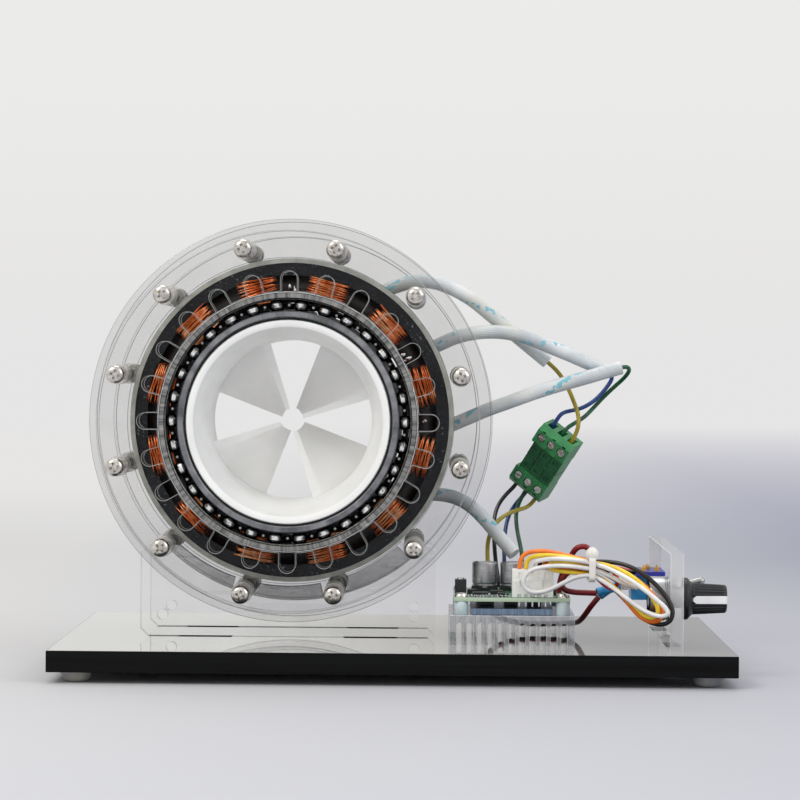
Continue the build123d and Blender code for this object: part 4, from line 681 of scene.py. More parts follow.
# %%
def piece(name, parts, body, replaces=(), rim=0.0, sharp=35.0, smooth=True):
    """Gathers (shape, material) pairs into one object that rides on a body of the frame."""
    data = bpy.data.meshes.new(name)
    corners, faces, indices, used = [], [], [], []
    for shape, key in parts:
        if key not in used:
            used.append(key)
        start = len(corners)
        corners += [tuple(MM * c for c in corner) for corner in shape[0]]
        faces += [tuple(start + index for index in face) for face in shape[1]]
        indices += [used.index(key)] * len(shape[1])
    data.from_pydata(corners, [], faces)
    for key in used:
        data.materials.append(M[key])
    data.polygons.foreach_set("material_index", indices)
    tidy = bmesh.new()
    tidy.from_mesh(data)
    bmesh.ops.remove_doubles(tidy, verts=tidy.verts, dist=1e-7)
    bmesh.ops.dissolve_degenerate(tidy, edges=tidy.edges, dist=1e-7)
    bmesh.ops.recalc_face_normals(tidy, faces=tidy.faces)
    tidy.to_mesh(data)
    tidy.free()
    made = bpy.data.objects.new(name, data)
    scene.collection.objects.link(made)
    if smooth:
        data.shade_smooth()
        data.set_sharp_from_angle(angle=math.radians(sharp))
    if rim:
        bevel = made.modifiers.new("rim", "BEVEL")
        bevel.width, bevel.segments = rim * MM, 2
        bevel.limit_method, bevel.angle_limit = "ANGLE", math.radians(40)
        bevel.harden_normals = True
    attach(made, body)
    if replaces:
        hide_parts(*([replaces] if isinstance(replaces, str) else replaces))
    print(f"{name}: {len(data.polygons)} faces, on {body}")
    return made


def finish_node(node, key):
    """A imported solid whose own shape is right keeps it, and gets a better material."""
    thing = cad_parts[node]
    thing.data.materials.clear()
    thing.data.materials.append(M[key])
    print(f"{node}: kept, in {key}")


# %% [markdown]
# ## Floor
#
# The object stands on a pale cloth that turns blue-grey on the right, which is painted shade, and is
# lost in the backdrop behind.
# Two colour ramps run away from the camera, one for each side, and a third blends them from left to
# right. Further off the cloth glows instead of taking light, so no horizon shows.

# %%
FLOOR_REACH, FLOOR_DROP = 12.0, 0.0001
CLOTH_LEFT = [(0.0, "dadbe0"), (0.12, "dad9da"), (0.25, "dbdada"), (0.45, "e6e5e4"), (1.0, "e6e5e5")]
# The right side's blue-grey is painted shade, darkest a little behind the object
CLOTH_RIGHT_PAINTED_SHADE = [(0.0, "c6c7d2"), (0.1, "b2b4c1"), (0.24, "a2a5b4"), (0.45, "b8b9c4"), (0.8, "d8d8db"),
               (1.0, "e6e5e5")]


def stage_floor():
    made, tree, shader = material("floor", 0.8)
    place = add_node(tree, "TexCoord", out="Object")
    x, y, z = add_node(tree, "SeparateXYZ", place).node.outputs
    depth = add_node(tree, "Math", y, 0.25, 0.1, operation="MULTIPLY_ADD")
    left = add_node(tree, "ValToRGB", depth, stops=CLOTH_LEFT)
    right = add_node(tree, "ValToRGB", depth, stops=CLOTH_RIGHT_PAINTED_SHADE)
    across = add_node(tree, "Math", x, 2.0, 0.42, operation="MULTIPLY_ADD")
    share = add_node(tree, "ValToRGB", across, stops=[(0.0, 0.0), (1.0, 1.0)])
    tone = add_node(tree, "Mix", share, out=2, data_type="RGBA", in_6=left, in_7=right)
    cloth = add_node(tree, "VectorMath", tone, (0.8, 0.8, 0.8), operation="MULTIPLY")
    add_node(tree, shader, Base_Color=cloth)
    away = add_node(tree, "VectorMath", place, operation="LENGTH", out="Value")
    glow = add_node(tree, "ValToRGB", away, stops=[(0.25, 0.0), (0.9, 1.0)])
    lit = add_node(tree, "Emission", Color=tone)
    blend = add_node(tree, "MixShader", glow, shader.outputs[0], lit)
    tree.links.new(blend, tree.nodes["Material Output"].inputs["Surface"])
    data = bpy.data.meshes.new("floor")
    data.from_pydata([(FLOOR_REACH * sx, FLOOR_REACH * sy, 0) for sx,
                      sy in ((-1, -1), (1, -1), (1, 1), (-1, 1))],
                     [], [(0, 1, 2, 3)])
    data.materials.append(made)
    floor = bpy.data.objects.new("floor", data)
    floor.location.z = -FLOOR_DROP
    scene.collection.objects.link(floor)


# %% [markdown]
# ## Lights and room
#
# Three round soft lamps stand for a studio: a warm key at the upper left, a cooler fill at the right,
# and one overhead. A wide lamp gives a soft shadow. The room is almost white, and glossy rays alone see
# it darken low down on the right. That is what the black base and the steel rings mirror.


# %%
def area_light(name, place, target, size, power, colour):
    data = bpy.data.lights.new(name, "AREA")
    data.shape, data.size, data.energy, data.color = "DISK", size, power, linear(colour)[:3]
    lamp = bpy.data.objects.new(name, data)
    lamp.location = place
    lamp.rotation_euler = (Vector(target) - Vector(place)).to_track_quat("-Z", "Y").to_euler()
    scene.collection.objects.link(lamp)


def stage_world():
    world = bpy.data.worlds.new("studio")
    scene.world = world
    world.use_nodes = True
    tree = world.node_tree
    place = add_node(tree, "TexCoord", out="Generated")
    x, y, z = add_node(tree, "SeparateXYZ", place).node.outputs
    tone = add_node(tree, "ValToRGB", z, stops=[(0.0, "e6e5e5"), (0.1, "ebebe9"), (0.5, "eeeeec")])
    aside = add_node(tree, "Math", x, 2.0, 0.5, operation="MULTIPLY_ADD")
    tones = [(0.36, "ffffff"), (0.5, "e0dfde"), (0.62, "bdbdc0"), (0.8, "b4b4ba")]
    right = add_node(tree, "ValToRGB", aside, stops=tones)
    low = add_node(tree, "ValToRGB", z, stops=[(0.16, 1.0), (0.34, 0.0)])
    glossy = add_node(tree, "LightPath", out="Is Glossy Ray")
    ahead = add_node(tree, "Math", y, 0.5, operation="GREATER_THAN")
    share = add_node(tree, "Math", low, glossy, operation="MULTIPLY")
    both = add_node(tree, "Math", share, ahead, operation="MULTIPLY")
    shaded = add_node(tree, "Mix", both, out=2, data_type="RGBA", blend_type="MULTIPLY", in_6=tone,
                      in_7=right)
    add_node(tree, tree.nodes["Background"], Color=shaded, Strength=1.0)


stage_floor()
stage_world()
area_light("key", (-0.9, -0.9, 1.3), (0, 0, 0.08), 0.7, 9.0, "fffaf2")
area_light("fill", (1.1, -0.7, 0.8), (0, 0, 0.08), 0.9, 4.0, "f2f6ff")
area_light("top", (0.0, 0.5, 1.4), (0, 0, 0.05), 0.9, 5.0, "ffffff")

# %% [markdown]
# ## Cords
#
# Sleeves, wires and leads are each one smooth spline. The points are the cord's route in millimetres,
# and it leaves one piece and ends in another. Each has its real width, 1.7 mm for wire, 5.5 mm for
# sleeving and 2.2 mm for leads.

# %%
ROUTES = {
    "lead_sleeve_top": [
        (-9.5, 22.5, 145.4), (-2.1, 22.5, 148.4), (6.3, 22.5, 151.1), (14.5, 22.6, 150.9),
        (22.5, 23.3, 148), (29.8, 25.2, 143.9), (36.5, 28.4, 138.5), (43.5, 31.6, 132.9),
        (51.6, 34.2, 126.4), (60.8, 34.8, 119),
    ],
    "lead_sleeve_upper": [
        (12, 22.5, 123.2), (19, 22.5, 126.9), (26.5, 22.6, 129.7), (35, 23, 131), (44, 23.8, 130.8),
        (52.5, 25, 128.6), (61, 26.7, 125.2), (69.5, 28.6, 121.9), (78, 31, 118.2), (84, 33, 116),
    ],
    "lead_sleeve_middle": [
        (18.9, 22.5, 92.1), (26.5, 22.5, 95.3), (36, 22.2, 99.6), (45.5, 21.9, 103), (55, 22, 106.6),
        (65, 22.5, 109.8), (75.5, 23.3, 112.7), (83.5, 24.2, 115.2), (90, 25, 117),
    ],
    "lead_sleeve_lower": [
        (11.3, 22.5, 65.9), (17.8, 22.5, 65.6), (24, 22.2, 64.4), (29.5, 21, 61.5), (34.2, 19, 57.3),
        (38.8, 16.5, 52.2), (43.3, 13.8, 46.9), (47.3, 11.5, 42.6),
    ],
    "motor_wire_yellow": [
        (60.8, 34.8, 119), (63.6, 35, 116.7), (67, 34.3, 112.6), (69.6, 32.6, 107.6), (71.6, 30.6, 102.6),
        (73.1, 28.3, 98.2), (73.3, 25.9, 93.8), (71.8, 26.4, 89.1), (69.6, 28.3, 85.4),
    ],
    "motor_wire_blue": [
        (84, 33, 116), (86.2, 33.7, 115.2), (87.2, 34.2, 112.6), (85.4, 34.3, 109.6), (82.8, 34.1, 106.2),
        (79.2, 34, 102.8), (74.6, 34, 100.2), (69.8, 32.4, 99.3), (66.4, 29.4, 98.4), (64, 29.4, 94.9),
        (62, 31.2, 91.4),
    ],
    "motor_wire_green": [
        (90, 25, 117), (92.3, 25.3, 117.6), (93.8, 27.6, 116), (91.8, 31.2, 112.8), (87.8, 34.6, 109),
        (83.6, 36.4, 104.8), (79.6, 36.4, 100.4), (76, 34, 96.8), (72.2, 30.4, 94.6), (67.9, 27.8, 92.1),
        (65.8, 29.7, 88.4),
    ],
    "board_wire_black": [
        (50.6, 41.3, 72), (48.4, 43.2, 68.3), (45, 43.4, 65), (42, 40.5, 61.5), (40.2, 35.5, 57.8),
        (39.4, 29, 53.4), (39.4, 22.2, 48.6), (39.6, 16.2, 43.4), (40, 10.4, 38.4), (40.6, 5.2, 34.6),
        (41, 2, 32.2), (41, 1.6, 30.1),
    ],
    "board_wire_blue": [
        (54.9, 40.9, 69.2), (52.8, 42.8, 65.5), (49.6, 42.8, 62), (46.8, 39.8, 58.4), (45, 34.6, 54.6),
        (44, 28.4, 50.4), (43.5, 22.2, 45.6), (43.4, 16.2, 40.8), (43.4, 10.2, 36.8), (43.6, 5, 33.8),
        (43.8, 2, 32), (43.8, 1.6, 30.1),
    ],
    "board_wire_green": [
        (53.9, 38.9, 68.8), (51.8, 40.8, 65.1), (49.8, 39.4, 61.4), (48.6, 35.6, 57.4),
        (48.6, 30.2, 53.2), (49.2, 24, 48.8), (50.2, 17.8, 44.2), (50.6, 11.8, 39.6), (49.8, 6.2, 35.6),
        (49, 2.2, 32.6), (49, 1.6, 30.1),
    ],
    "board_wire_yellow": [
        (58.2, 38.4, 66), (56.1, 40.3, 62.3), (53.2, 37, 59.8), (50, 31.8, 59.2), (46, 27.4, 58.2),
        (41.6, 24.6, 55.8), (38.4, 22.4, 51.8), (36.8, 18.8, 46.9), (36.6, 13.6, 42.4), (36.8, 8.6, 38.2),
        (37.2, 4.6, 34.6), (37.4, 2, 32), (37.4, 1.6, 30.1),
    ],
    "harness_orange": [
        (47.8, -35.6, 40.5), (47.8, -35.6, 43.6), (50, -35.6, 46.6), (55.5, -36.8, 47.6),
        (61.5, -39.8, 47), (68, -43, 45.6), (74.4, -46.1, 44), (80.5, -49.1, 42.9), (86.5, -52, 40.9),
        (92, -54.7, 37.6), (96.8, -57.1, 33), (100.4, -58.8, 27.8), (99.9, -58.6, 23.6),
        (96.2, -56.8, 22.4), (92, -54.7, 24.4), (88.4, -52.9, 28.6), (84.5, -51, 33.2),
        (79.8, -48.7, 37.2), (74.4, -46.1, 39.6), (68.5, -43.2, 40.4), (63, -40.5, 41.3),
        (59.4, -38.7, 41.5), (57, -37.6, 42.2), (56.8, -37.5, 44.5), (59, -38.5, 45.2),
        (63.6, -40.8, 44.4), (69, -43.4, 43), (74.4, -46.1, 41.8), (79.2, -46.4, 40), (83.6, -44.4, 37.2),
        (88, -41.8, 35.4), (91.65, -40.3, 34.7),
    ],
    "harness_yellow": [
        (50.3, -35.6, 40.5), (50.3, -35.6, 42.9), (52.2, -37, 45.2), (57.5, -40.1, 46.2),
        (63.2, -42.9, 45.9), (69, -45.7, 45.1), (74.4, -48.4, 44), (80, -51.1, 43.4), (86, -54.1, 41.4),
        (91.5, -56.8, 37.9), (96, -59, 32.8), (98.9, -60.4, 27.8), (97.6, -59.8, 24.3), (94, -58, 24.6),
        (90.6, -56.3, 27.8), (87, -54.6, 31.4), (83.4, -52.8, 34.6), (79.2, -50.7, 37.6),
        (74.4, -48.4, 39.6), (68.8, -45.6, 39.9), (64.2, -43.4, 40.2), (61, -41.8, 40.4),
        (58.9, -40.8, 41.2), (58.9, -40.8, 43.2), (61.2, -41.9, 43.6), (65, -43.8, 43.4),
        (69.4, -45.9, 42.8), (74.4, -48.4, 41.8), (79.2, -49, 40.2), (83.6, -48.9, 38), (88, -46.8, 35.6),
        (91.65, -45, 34.7),
    ],
    "harness_white": [
        (52.8, -35.6, 40.5), (52.8, -35.7, 42.4), (54.2, -38.6, 43.6), (57.6, -42, 44.7),
        (62, -44.6, 45.1), (68, -47.6, 45), (74.4, -50.7, 44), (80.4, -53.6, 42.3), (86.6, -56.7, 39.4),
        (92.6, -59.6, 35.6), (97.6, -62.1, 31.6), (101.2, -63.8, 28.6), (101.9, -64.2, 26.2),
        (99.4, -62.9, 25.2), (95.2, -60.9, 26.2), (90.8, -58.7, 28.6), (86.6, -56.7, 31.8),
        (82.8, -54.8, 34.6), (79, -52.9, 37.2), (74.4, -50.7, 39.6), (68.4, -47.7, 38.6),
        (63, -45.1, 35.4), (58, -42.7, 32.7), (53.2, -40.8, 31.7), (49.6, -40.4, 33.2),
        (48.8, -40.3, 36.6), (51.2, -40.4, 40.2), (56.8, -42.4, 41.9), (62.6, -44.9, 42.6),
        (68.4, -47.7, 42.4), (74.4, -50.7, 41.8), (79.2, -51, 40.2), (83.6, -51.6, 38), (88, -50.8, 35.6),
        (91.65, -49.7, 34.7),
    ],
    "harness_black": [
        (55.3, -35.6, 40.5), (55.3, -35.5, 42.4), (57, -34.9, 45), (62, -37.7, 46), (68, -40.7, 45.3),
        (74.4, -43.8, 44), (80.6, -46.8, 44.4), (87, -50, 43.6), (93, -52.9, 40.8), (98.5, -55.6, 36.2),
        (102.8, -57.7, 31), (104.5, -58.5, 26.2), (102.8, -57.7, 22.3), (98.5, -55.6, 21.4),
        (93.6, -53.2, 23.4), (89, -50.9, 28), (84.5, -48.7, 32.8), (79.5, -46.3, 36.9),
        (74.4, -43.8, 39.6), (70.4, -41.8, 39.9), (67, -40.2, 40), (64.4, -38.9, 40.3),
        (62.8, -38.1, 42.1), (64.6, -39, 43.5), (68.2, -40.7, 43), (71.4, -42.3, 42.4),
        (74.4, -43.8, 41.8), (77.2, -42.3, 40.8), (80.8, -39.2, 40.2), (84.6, -33.6, 40.2),
        (88.4, -28.6, 39.2), (92, -26, 38.6),
    ],
    "harness_red": [
        (57.8, -35.6, 40.5), (57.8, -35.5, 42.2), (60, -34.2, 44.2), (64.5, -36.6, 45.3),
        (69.5, -39.1, 45.1), (74.4, -41.5, 44), (78.6, -43.5, 43.2), (82, -45.2, 41.4),
        (84.3, -46.3, 38.5), (84.3, -46.3, 35.2), (82.2, -45.3, 33.7), (79.6, -44, 35.2),
        (77.2, -42.9, 37.6), (74.4, -41.5, 39.6), (71.4, -40, 39.7), (68.6, -38.6, 39.6),
        (66.6, -37.7, 40.4), (66.6, -37.7, 42.4), (68.6, -38.6, 43), (71.4, -40, 42.6),
        (74.4, -41.5, 41.8), (78.4, -38.6, 41.2), (82.6, -32, 41), (87, -25.6, 40), (90, -22.6, 38.9),
        (92.2, -22, 38.6),
    ],
    "power_lead_front": [
        (77.6, -26.2, 30.6), (73.4, -27, 30.8), (68.6, -27.6, 31), (64.9, -27.6, 31.9),
        (63.9, -27.8, 35.2), (66.2, -28.6, 38.6), (70.2, -30.2, 40.2), (74.2, -31, 42.6),
        (75.8, -32, 46.2), (73.2, -32.6, 49.2), (69.6, -32.2, 48.6), (67.6, -30.4, 45.2),
        (66.6, -26.6, 42), (65, -22.6, 38.6), (64, -19.4, 34.6), (63.8, -18.2, 31.8), (63.8, -18.2, 29.9),
    ],
    "power_lead_rear": [
        (79.2, -17.4, 28.4), (76.6, -17.4, 25.4), (74.4, -12.4, 21.2), (72.7, -4.8, 17.8),
        (71.2, 3.8, 16.2), (66, 8.8, 15.4), (59, 10.4, 15), (51.4, 10.6, 15), (44.2, 10.4, 16.2),
        (38.2, 9.8, 19.4), (34.4, 8.8, 23.8), (33.2, 7.6, 27.4), (33, 5.8, 29), (33, 4, 29),
    ],
}
WIRE, SLEEVE, LEAD = 1.7, 5.5, 2.2

# Each cord: its finish, width and real length in millimetres, and what it ends in
CORDS = {
    "lead_sleeve_top": ("sleeve", SLEEVE, 83, "bare"),
    "lead_sleeve_upper": ("sleeve", SLEEVE, 77, "bare"),
    "lead_sleeve_middle": ("sleeve", SLEEVE, 76, "bare"),
    "lead_sleeve_lower": ("sleeve", SLEEVE, 47, "bare"),
    "motor_wire_yellow": ("wire_dull_yellow", WIRE, 40, "connector"),
    "motor_wire_blue": ("wire_deep_blue", WIRE, 41, "connector"),
    "motor_wire_green": ("wire_deep_green", WIRE, 50, "connector"),
    "board_wire_black": ("wire_black", WIRE, 65, "object"),
    "board_wire_blue": ("wire_deep_blue", WIRE, 63, "object"),
    "board_wire_green": ("wire_deep_green", WIRE, 59, "object"),
    "board_wire_yellow": ("wire_dull_yellow", WIRE, 63, "object"),
    "harness_orange": ("wire_orange", WIRE, 167, "object"),
    "harness_yellow": ("wire_yellow", WIRE, 153, "object"),
    "harness_white": ("wire_white", WIRE, 177, "object"),
    "harness_black": ("wire_black", WIRE, 159, "object"),
    "harness_red": ("wire_red", WIRE, 96, "object"),
    "power_lead_front": ("red_lead", LEAD, 65, "object"),
    "power_lead_rear": ("red_lead", LEAD, 78, "object"),
}
CORD_NODES = {"lead": None, "motor": "motor_wires", "board": "board_wires", "harness": "harness_wires",
              "power": "power_leads"}


# %% [markdown]
# ## A cord from a route
#
# A curve with a round section stays a curve, so the cord can still be bent later. NURBS with an
# order of three pass smoothly by their points without overshooting, as a limp wire does.


# %%
def spline_curve(name, points, width, key):
    """One open NURBS spline with a round section."""
    data = bpy.data.curves.new(name, "CURVE")
    data.dimensions = "3D"
    data.bevel_depth, data.bevel_resolution = width * MM / 2, 4
    data.resolution_u = 8
    data.use_fill_caps = True
    spline = data.splines.new("NURBS")
    spline.points.add(len(points) - 1)
    for point, place in zip(spline.points, points):
        point.co = (*[c * MM for c in place], 1)
    spline.order_u = 3
    spline.use_endpoint_u = True
    spline.use_smooth = True
    data.materials.append(M[key])
    made = bpy.data.objects.new(name, data)
    scene.collection.objects.link(made)
    return made


cords = {}
for name, (key, width, length, far_end) in CORDS.items():
    family = name.split("_")[0]
    cords[name] = spline_curve("cord_" + name, ROUTES[name], width, key)
    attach(cords[name], "stand")
    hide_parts(CORD_NODES[family] or name)
    print(f"{name}: {length} mm of {width} mm, {len(ROUTES[name])} points")

# %% [markdown]
# ## Base and feet
#
# A polished black acrylic sheet on four milky rubber feet. The sheet is a filled outline with the slots
# that its uprights stand in. Its cut sides are duller than its top, so the two get their own finish, and
# the feet are turned.


# %%
def rect(x0, y0, x1, y1):
    return [(x0, y0), (x1, y0), (x1, y1), (x0, y1)]


def base_and_feet():
    slots = []
    for depth in (-21.0, 16.0):
        for side in (-32.0, 32.0):
            middle = MOTOR_X + side
            slots.append(rect(middle - 10.3, depth - 0.1, middle + 10.3, depth + 5.1))
    for middle in (-35.0, 25.0):
        slots.append(rect(103.4, middle - 8.1, 108.6, middle + 8.1))
    plate = sheet_shape([rect(-127, -75, 127, 75), *slots], 4.0, BASE_TOP, 0.3)
    corners, faces = plate

    def level(face):
        heights = [corners[i][2] for i in face]
        return max(heights) - min(heights) < 0.01

    tops = [face for face in faces if level(face)]
    sides = [face for face in faces if not level(face)]
    piece("base", [((corners, tops), "base"), ((corners, sides), "base_edge")], "stand",
          "base_plate", sharp=20)
    profile = [(0, 4), (5.9, 4), (5.85, 3.2), (5.5, 1.4), (5.0, 0.5), (4.2, 0.05), (3.6, 0), (0, 0)]
    places = [at(x, y) for x in (-117, 117) for y in (-65, 65)]
    piece("feet", [(repeated(lathe(profile, 40), places), "rubber")], "stand", "rubber_feet")


# %% [markdown]
# ## Bearing plates and housing ring
#
# Two thick clear plates hold the bearings in seats that 24 U-slots open up, and a wider clear ring
# stands between them. Each is one sheet with its holes, and all twelve screw holes are real, since
# light passes through them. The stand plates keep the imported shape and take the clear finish.


# %%
def screw_loops():
    loops = []
    for i in range(SCREW_COUNT):
        angle = math.radians(SCREW_START + 30 * i)
        centre = (SCREW_CIRCLE * math.cos(angle), SCREW_CIRCLE * math.sin(angle))
        loops.append(circle(2.15, 20, centre))
    return loops


def slotted_seat(seat=50.02, slots=24, width=6.2, reach=7.8):
    """The bearing seat's outline: arcs of the seat between U-slots that run outwards."""
    half, end = width / 2, 50 + reach - width / 2
    opening = math.asin(half / seat)
    step = math.tau / slots
    outline = []
    for i in range(slots):
        middle = i * step
        along = (math.cos(middle), math.sin(middle))
        across = (-along[1], along[0])
        for j in range(7):
            angle = middle - step + opening + (step - 2 * opening) * j / 6
            outline.append((seat * math.cos(angle), seat * math.sin(angle)))
        for j in range(13):
            sweep = math.pi * (j / 12 - 0.5)
            out, side = end + half * math.cos(sweep), half * math.sin(sweep)
            outline.append((out * along[0] + side * across[0], out * along[1] + side * across[1]))
    return outline


def clear_plates():
    seat = slotted_seat()
    for front, name in ((FRONT_FACE, "front_bearing_plate"), (28.0, "rear_bearing_plate")):
        plate = sheet_shape([circle(73.5, 160), seat, *screw_loops()], -front - 10.0, -front, 0.22)
        piece(name + "_sheet", [(moved(plate, MOTOR), "plate")], "stand", name, sharp=20)
    ring = sheet_shape([circle(78.75, 170), circle(63.6, 140), *screw_loops()], -16.0, 9.0, 0.3)
    seat_band = lathe([(61.9, -0.85), (63.7, -0.85), (63.7, -0.4), (61.9, -0.4)], 160)
    piece("housing_ring", [(moved(ring, MOTOR), "ring"), (moved(seat_band, MOTOR), "frost")], "stand",
          "stator_housing_ring", sharp=20)
    finish_node("front_stand_plate", "stand")
    finish_node("rear_stand_plate", "stand")


base_and_feet()
clear_plates()

# %% [markdown]
# ## Screws, nuts and spacers
#
# Twelve zinc-plated M4 screws hold the motor together, with clear nylon spacers between the plates
# and the ring. One screw is made and repeated round the axis. The cross recess is cut by a tapered
# cross, since a painted one would not darken with depth.


# %%
def cross_cutter(reach, width, depth, top):
    """A tapered cross that cuts a screwdriver recess down from top."""
    arms = []
    for angle in (0, 90):
        wide = [(-reach, -width / 2), (reach, -width / 2), (reach, width / 2), (-reach, width / 2)]
        corners = [(x, y, top + 0.2) for x, y in wide] + [(0.45 * x, 0.6 * y, top - depth) for x, y in wide]
        faces = [(0, 1, 2, 3), (7, 6, 5, 4)] + [(i, i + 4, (i + 1) % 4 + 4, (i + 1) % 4) for i in range(4)]
        arms.append(moved((corners, faces), turn(angle, "Z")))
    return arms


# %% [markdown]
# ## Threads
#
# A rolled thread is a row of shallow ridges. Closed rings in place of a helix look the same at this
# size, and one turned profile makes them.


# %%
def thread(radius, low, high, pitch=0.7):
    """A shank with a rolled thread."""
    profile, height = [(0, low), (radius - 0.35, low)], low + 0.2
    while height < high - pitch:
        profile += [(radius - 0.28, height), (radius, height + pitch / 2)]
        height += pitch
    return lathe(profile + [(radius - 0.28, height), (radius - 0.28, high), (0, high)], 20)


def pan_head():
    dome = [(0, 0), (3.5, 0), (3.52, 0.5), (3.45, 1.1), (3.15, 1.75), (2.55, 2.25), (1.7, 2.5),
            (0.8, 2.6), (0, 2.62)]
    return carved(lathe(dome, 40), *cross_cutter(2.1, 1.0, 1.7, 2.6))


def fasteners():
    head = pan_head()
    shank = thread(2.0, -BACK_FACE - 4.6, -FRONT_FACE + 0.1)
    screw = [(repeated(head, around_motor(SCREW_COUNT, SCREW_START, SCREW_CIRCLE, -FRONT_FACE)), "screw"),
             (repeated(shank, around_motor(SCREW_COUNT, SCREW_START, SCREW_CIRCLE)), "steel")]
    piece("pan_head_screws", screw, "stand", "housing_screws", sharp=28)
    nut = lathe([(2.02, 0), (4.04, 0), (4.04, 3.2), (2.02, 3.2)], 6)
    crown = lathe([(2.0, -0.05), (3.75, -0.05), (3.95, 0.3), (3.95, 2.9), (3.75, 3.25), (2.0, 3.25)], 24)
    nuts = [(repeated(shape, around_motor(SCREW_COUNT, SCREW_START, SCREW_CIRCLE, -BACK_FACE - 3.2)), "screw")
            for shape in (nut, crown)]
    piece("hex_nuts", nuts, "stand", "housing_nuts", rim=0.15)
    pillar = lathe([(2.15, 0), (3.75, 0), (4.0, 0.3), (4.0, 11.7), (3.75, 12), (2.15, 12)], 36)
    for z, name in ((9.0, "front_spacers"), (-28.0, "rear_spacers")):
        pillars = repeated(pillar, around_motor(SCREW_COUNT, SCREW_START, SCREW_CIRCLE, z))
        piece(name + "_turned", [(pillars, "spacer")], "stand", name)


fasteners()

# %% [markdown]
# ## Ball bearings
#
# Each thin bearing has two ground rings, thirty polished balls and a riveted ribbon cage. The rings are
# turned from a profile with a round groove a little wider than the ball, which is how they are ground.

# %%
GROOVE = 3.3


def race(inside, outside, groove_side):
    """A ring's profile as (radius, height) about the bearing's middle, with a round groove."""
    edge = inside if groove_side < 0 else outside
    reach = math.sqrt(GROOVE**2 - (BALL_CIRCLE - edge) ** 2)
    angles = [math.atan2(reach, abs(edge - BALL_CIRCLE)) * (1 - i / 6) for i in range(13)]
    out = 1 if groove_side < 0 else -1
    groove = [(BALL_CIRCLE + out * GROOVE * math.cos(a), GROOVE * math.sin(a)) for a in angles]
    chamfer = 0.45
    if groove_side < 0:
        rest = [(inside, -5 + chamfer), (inside + chamfer, -5), (outside - chamfer, -5),
                (outside, -5 + chamfer),
                (outside, 5 - chamfer), (outside - chamfer, 5), (inside + chamfer, 5), (inside, 5 - chamfer)]
        return groove + rest
    rest = [(outside, -5 + chamfer), (outside - chamfer, -5), (inside + chamfer, -5), (inside, -5 + chamfer),
            (inside, 5 - chamfer), (inside + chamfer, 5), (outside - chamfer, 5), (outside, 5 - chamfer)]
    return groove + rest


# %% [markdown]
# ## Ribbon cage
#
# The cage is two pressed steel ribbons, riveted between the balls. Each is drawn as a band that runs
# flat and rises over every ball by the ball's own circle, which a stamped sheet does too.


# %%
def ribbon(side, steps=18, low=44.0, high=45.5, sheet=0.45):
    """Half of the cage: flat between the balls and bowed over them. side is 1 or -1 along the axis."""
    reach = BALL_RADIUS + 0.42
    corners, faces = [], []
    count = BALL_COUNT * steps
    for i in range(count):
        angle = math.tau * i / count
        away = (i % steps) / steps
        away = min(away, 1 - away) * math.tau / BALL_COUNT * BALL_CIRCLE
        lift = math.sqrt(max(reach**2 - away**2, 0.0))
        lift = max(lift, 0.28)
        for radius, height in ((low, lift), (high, lift), (high, lift + sheet), (low, lift + sheet)):
            height = min(height, 3.95)
            corners.append((radius * math.cos(angle), radius * math.sin(angle), side * height))
    for i in range(count):
        j = (i + 1) % count
        for k in range(4):
            faces.append((4 * i + k, 4 * j + k, 4 * j + (k + 1) % 4, 4 * i + (k + 1) % 4))
    return corners, faces


def bearing(side, middle, ring_body, ball_body):
    place = MOTOR @ at(z=-middle)
    outer = moved(lathe(race(46.9, 50.0, -1), 180), place)
    # Thin flat rings on both faces of the outer race: the bright one is a painted highlight along the rim,
    # the black one painted shade at the inner chamfer
    painted_rim_lines = [(moved(lathe([(r0, 4.9 * face), (r1, 4.9 * face), (r1, 5.0 * face), (r0, 5.0 * face)], 180),
                   place), key)
            for face in (-1, 1) for r0, r1, key in ((49.3, 49.75, "bright"), (47.25, 47.6, "tube"))]
    piece(side + "_outer_race", [(outer, "ring_steel"), *painted_rim_lines], "stand",
          side + "_bearing_outer_ring")
    inner = moved(lathe(race(40.0, 42.6, 1), 180), place)
    piece(side + "_inner_race", [(inner, "race_steel")], ring_body,
          side + "_bearing_inner_ring")
    spots = [place @ turn(12 * i, "Z") @ at(BALL_CIRCLE) for i in range(BALL_COUNT)]
    piece(side + "_ball_row", [(repeated(ball(BALL_RADIUS), spots), "ball")], ball_body,
          side + "_bearing_balls", sharp=180)
    rivet = lathe([(0, -1.05), (0.45, -1.0), (0.62, -0.75), (0.62, 0.75), (0.45, 1.0), (0, 1.05)], 12)
    rivets = [place @ turn(12 * i + 6, "Z") @ at(BALL_CIRCLE) for i in range(BALL_COUNT)]
    cage = [(moved(ribbon(1), place), "cage"), (moved(ribbon(-1), place), "cage"),
            (repeated(rivet, rivets), "steel")]
    piece(side + "_ribbon_cage", cage, ball_body, side + "_bearing_cage", sharp=50)


bearing("front", -26.0, "rotor", "front_ball_set")
bearing("rear", 33.0, "rotor", "rear_ball_set")

# %% [markdown]
# ## Rotor
#
# The rotor is a white printed tube with a fan inside. Its duct narrows to a throat, and four twisted
# blades leave its middle open. The inner wall is one turned profile, eased by a sine so that it has no
# kink.


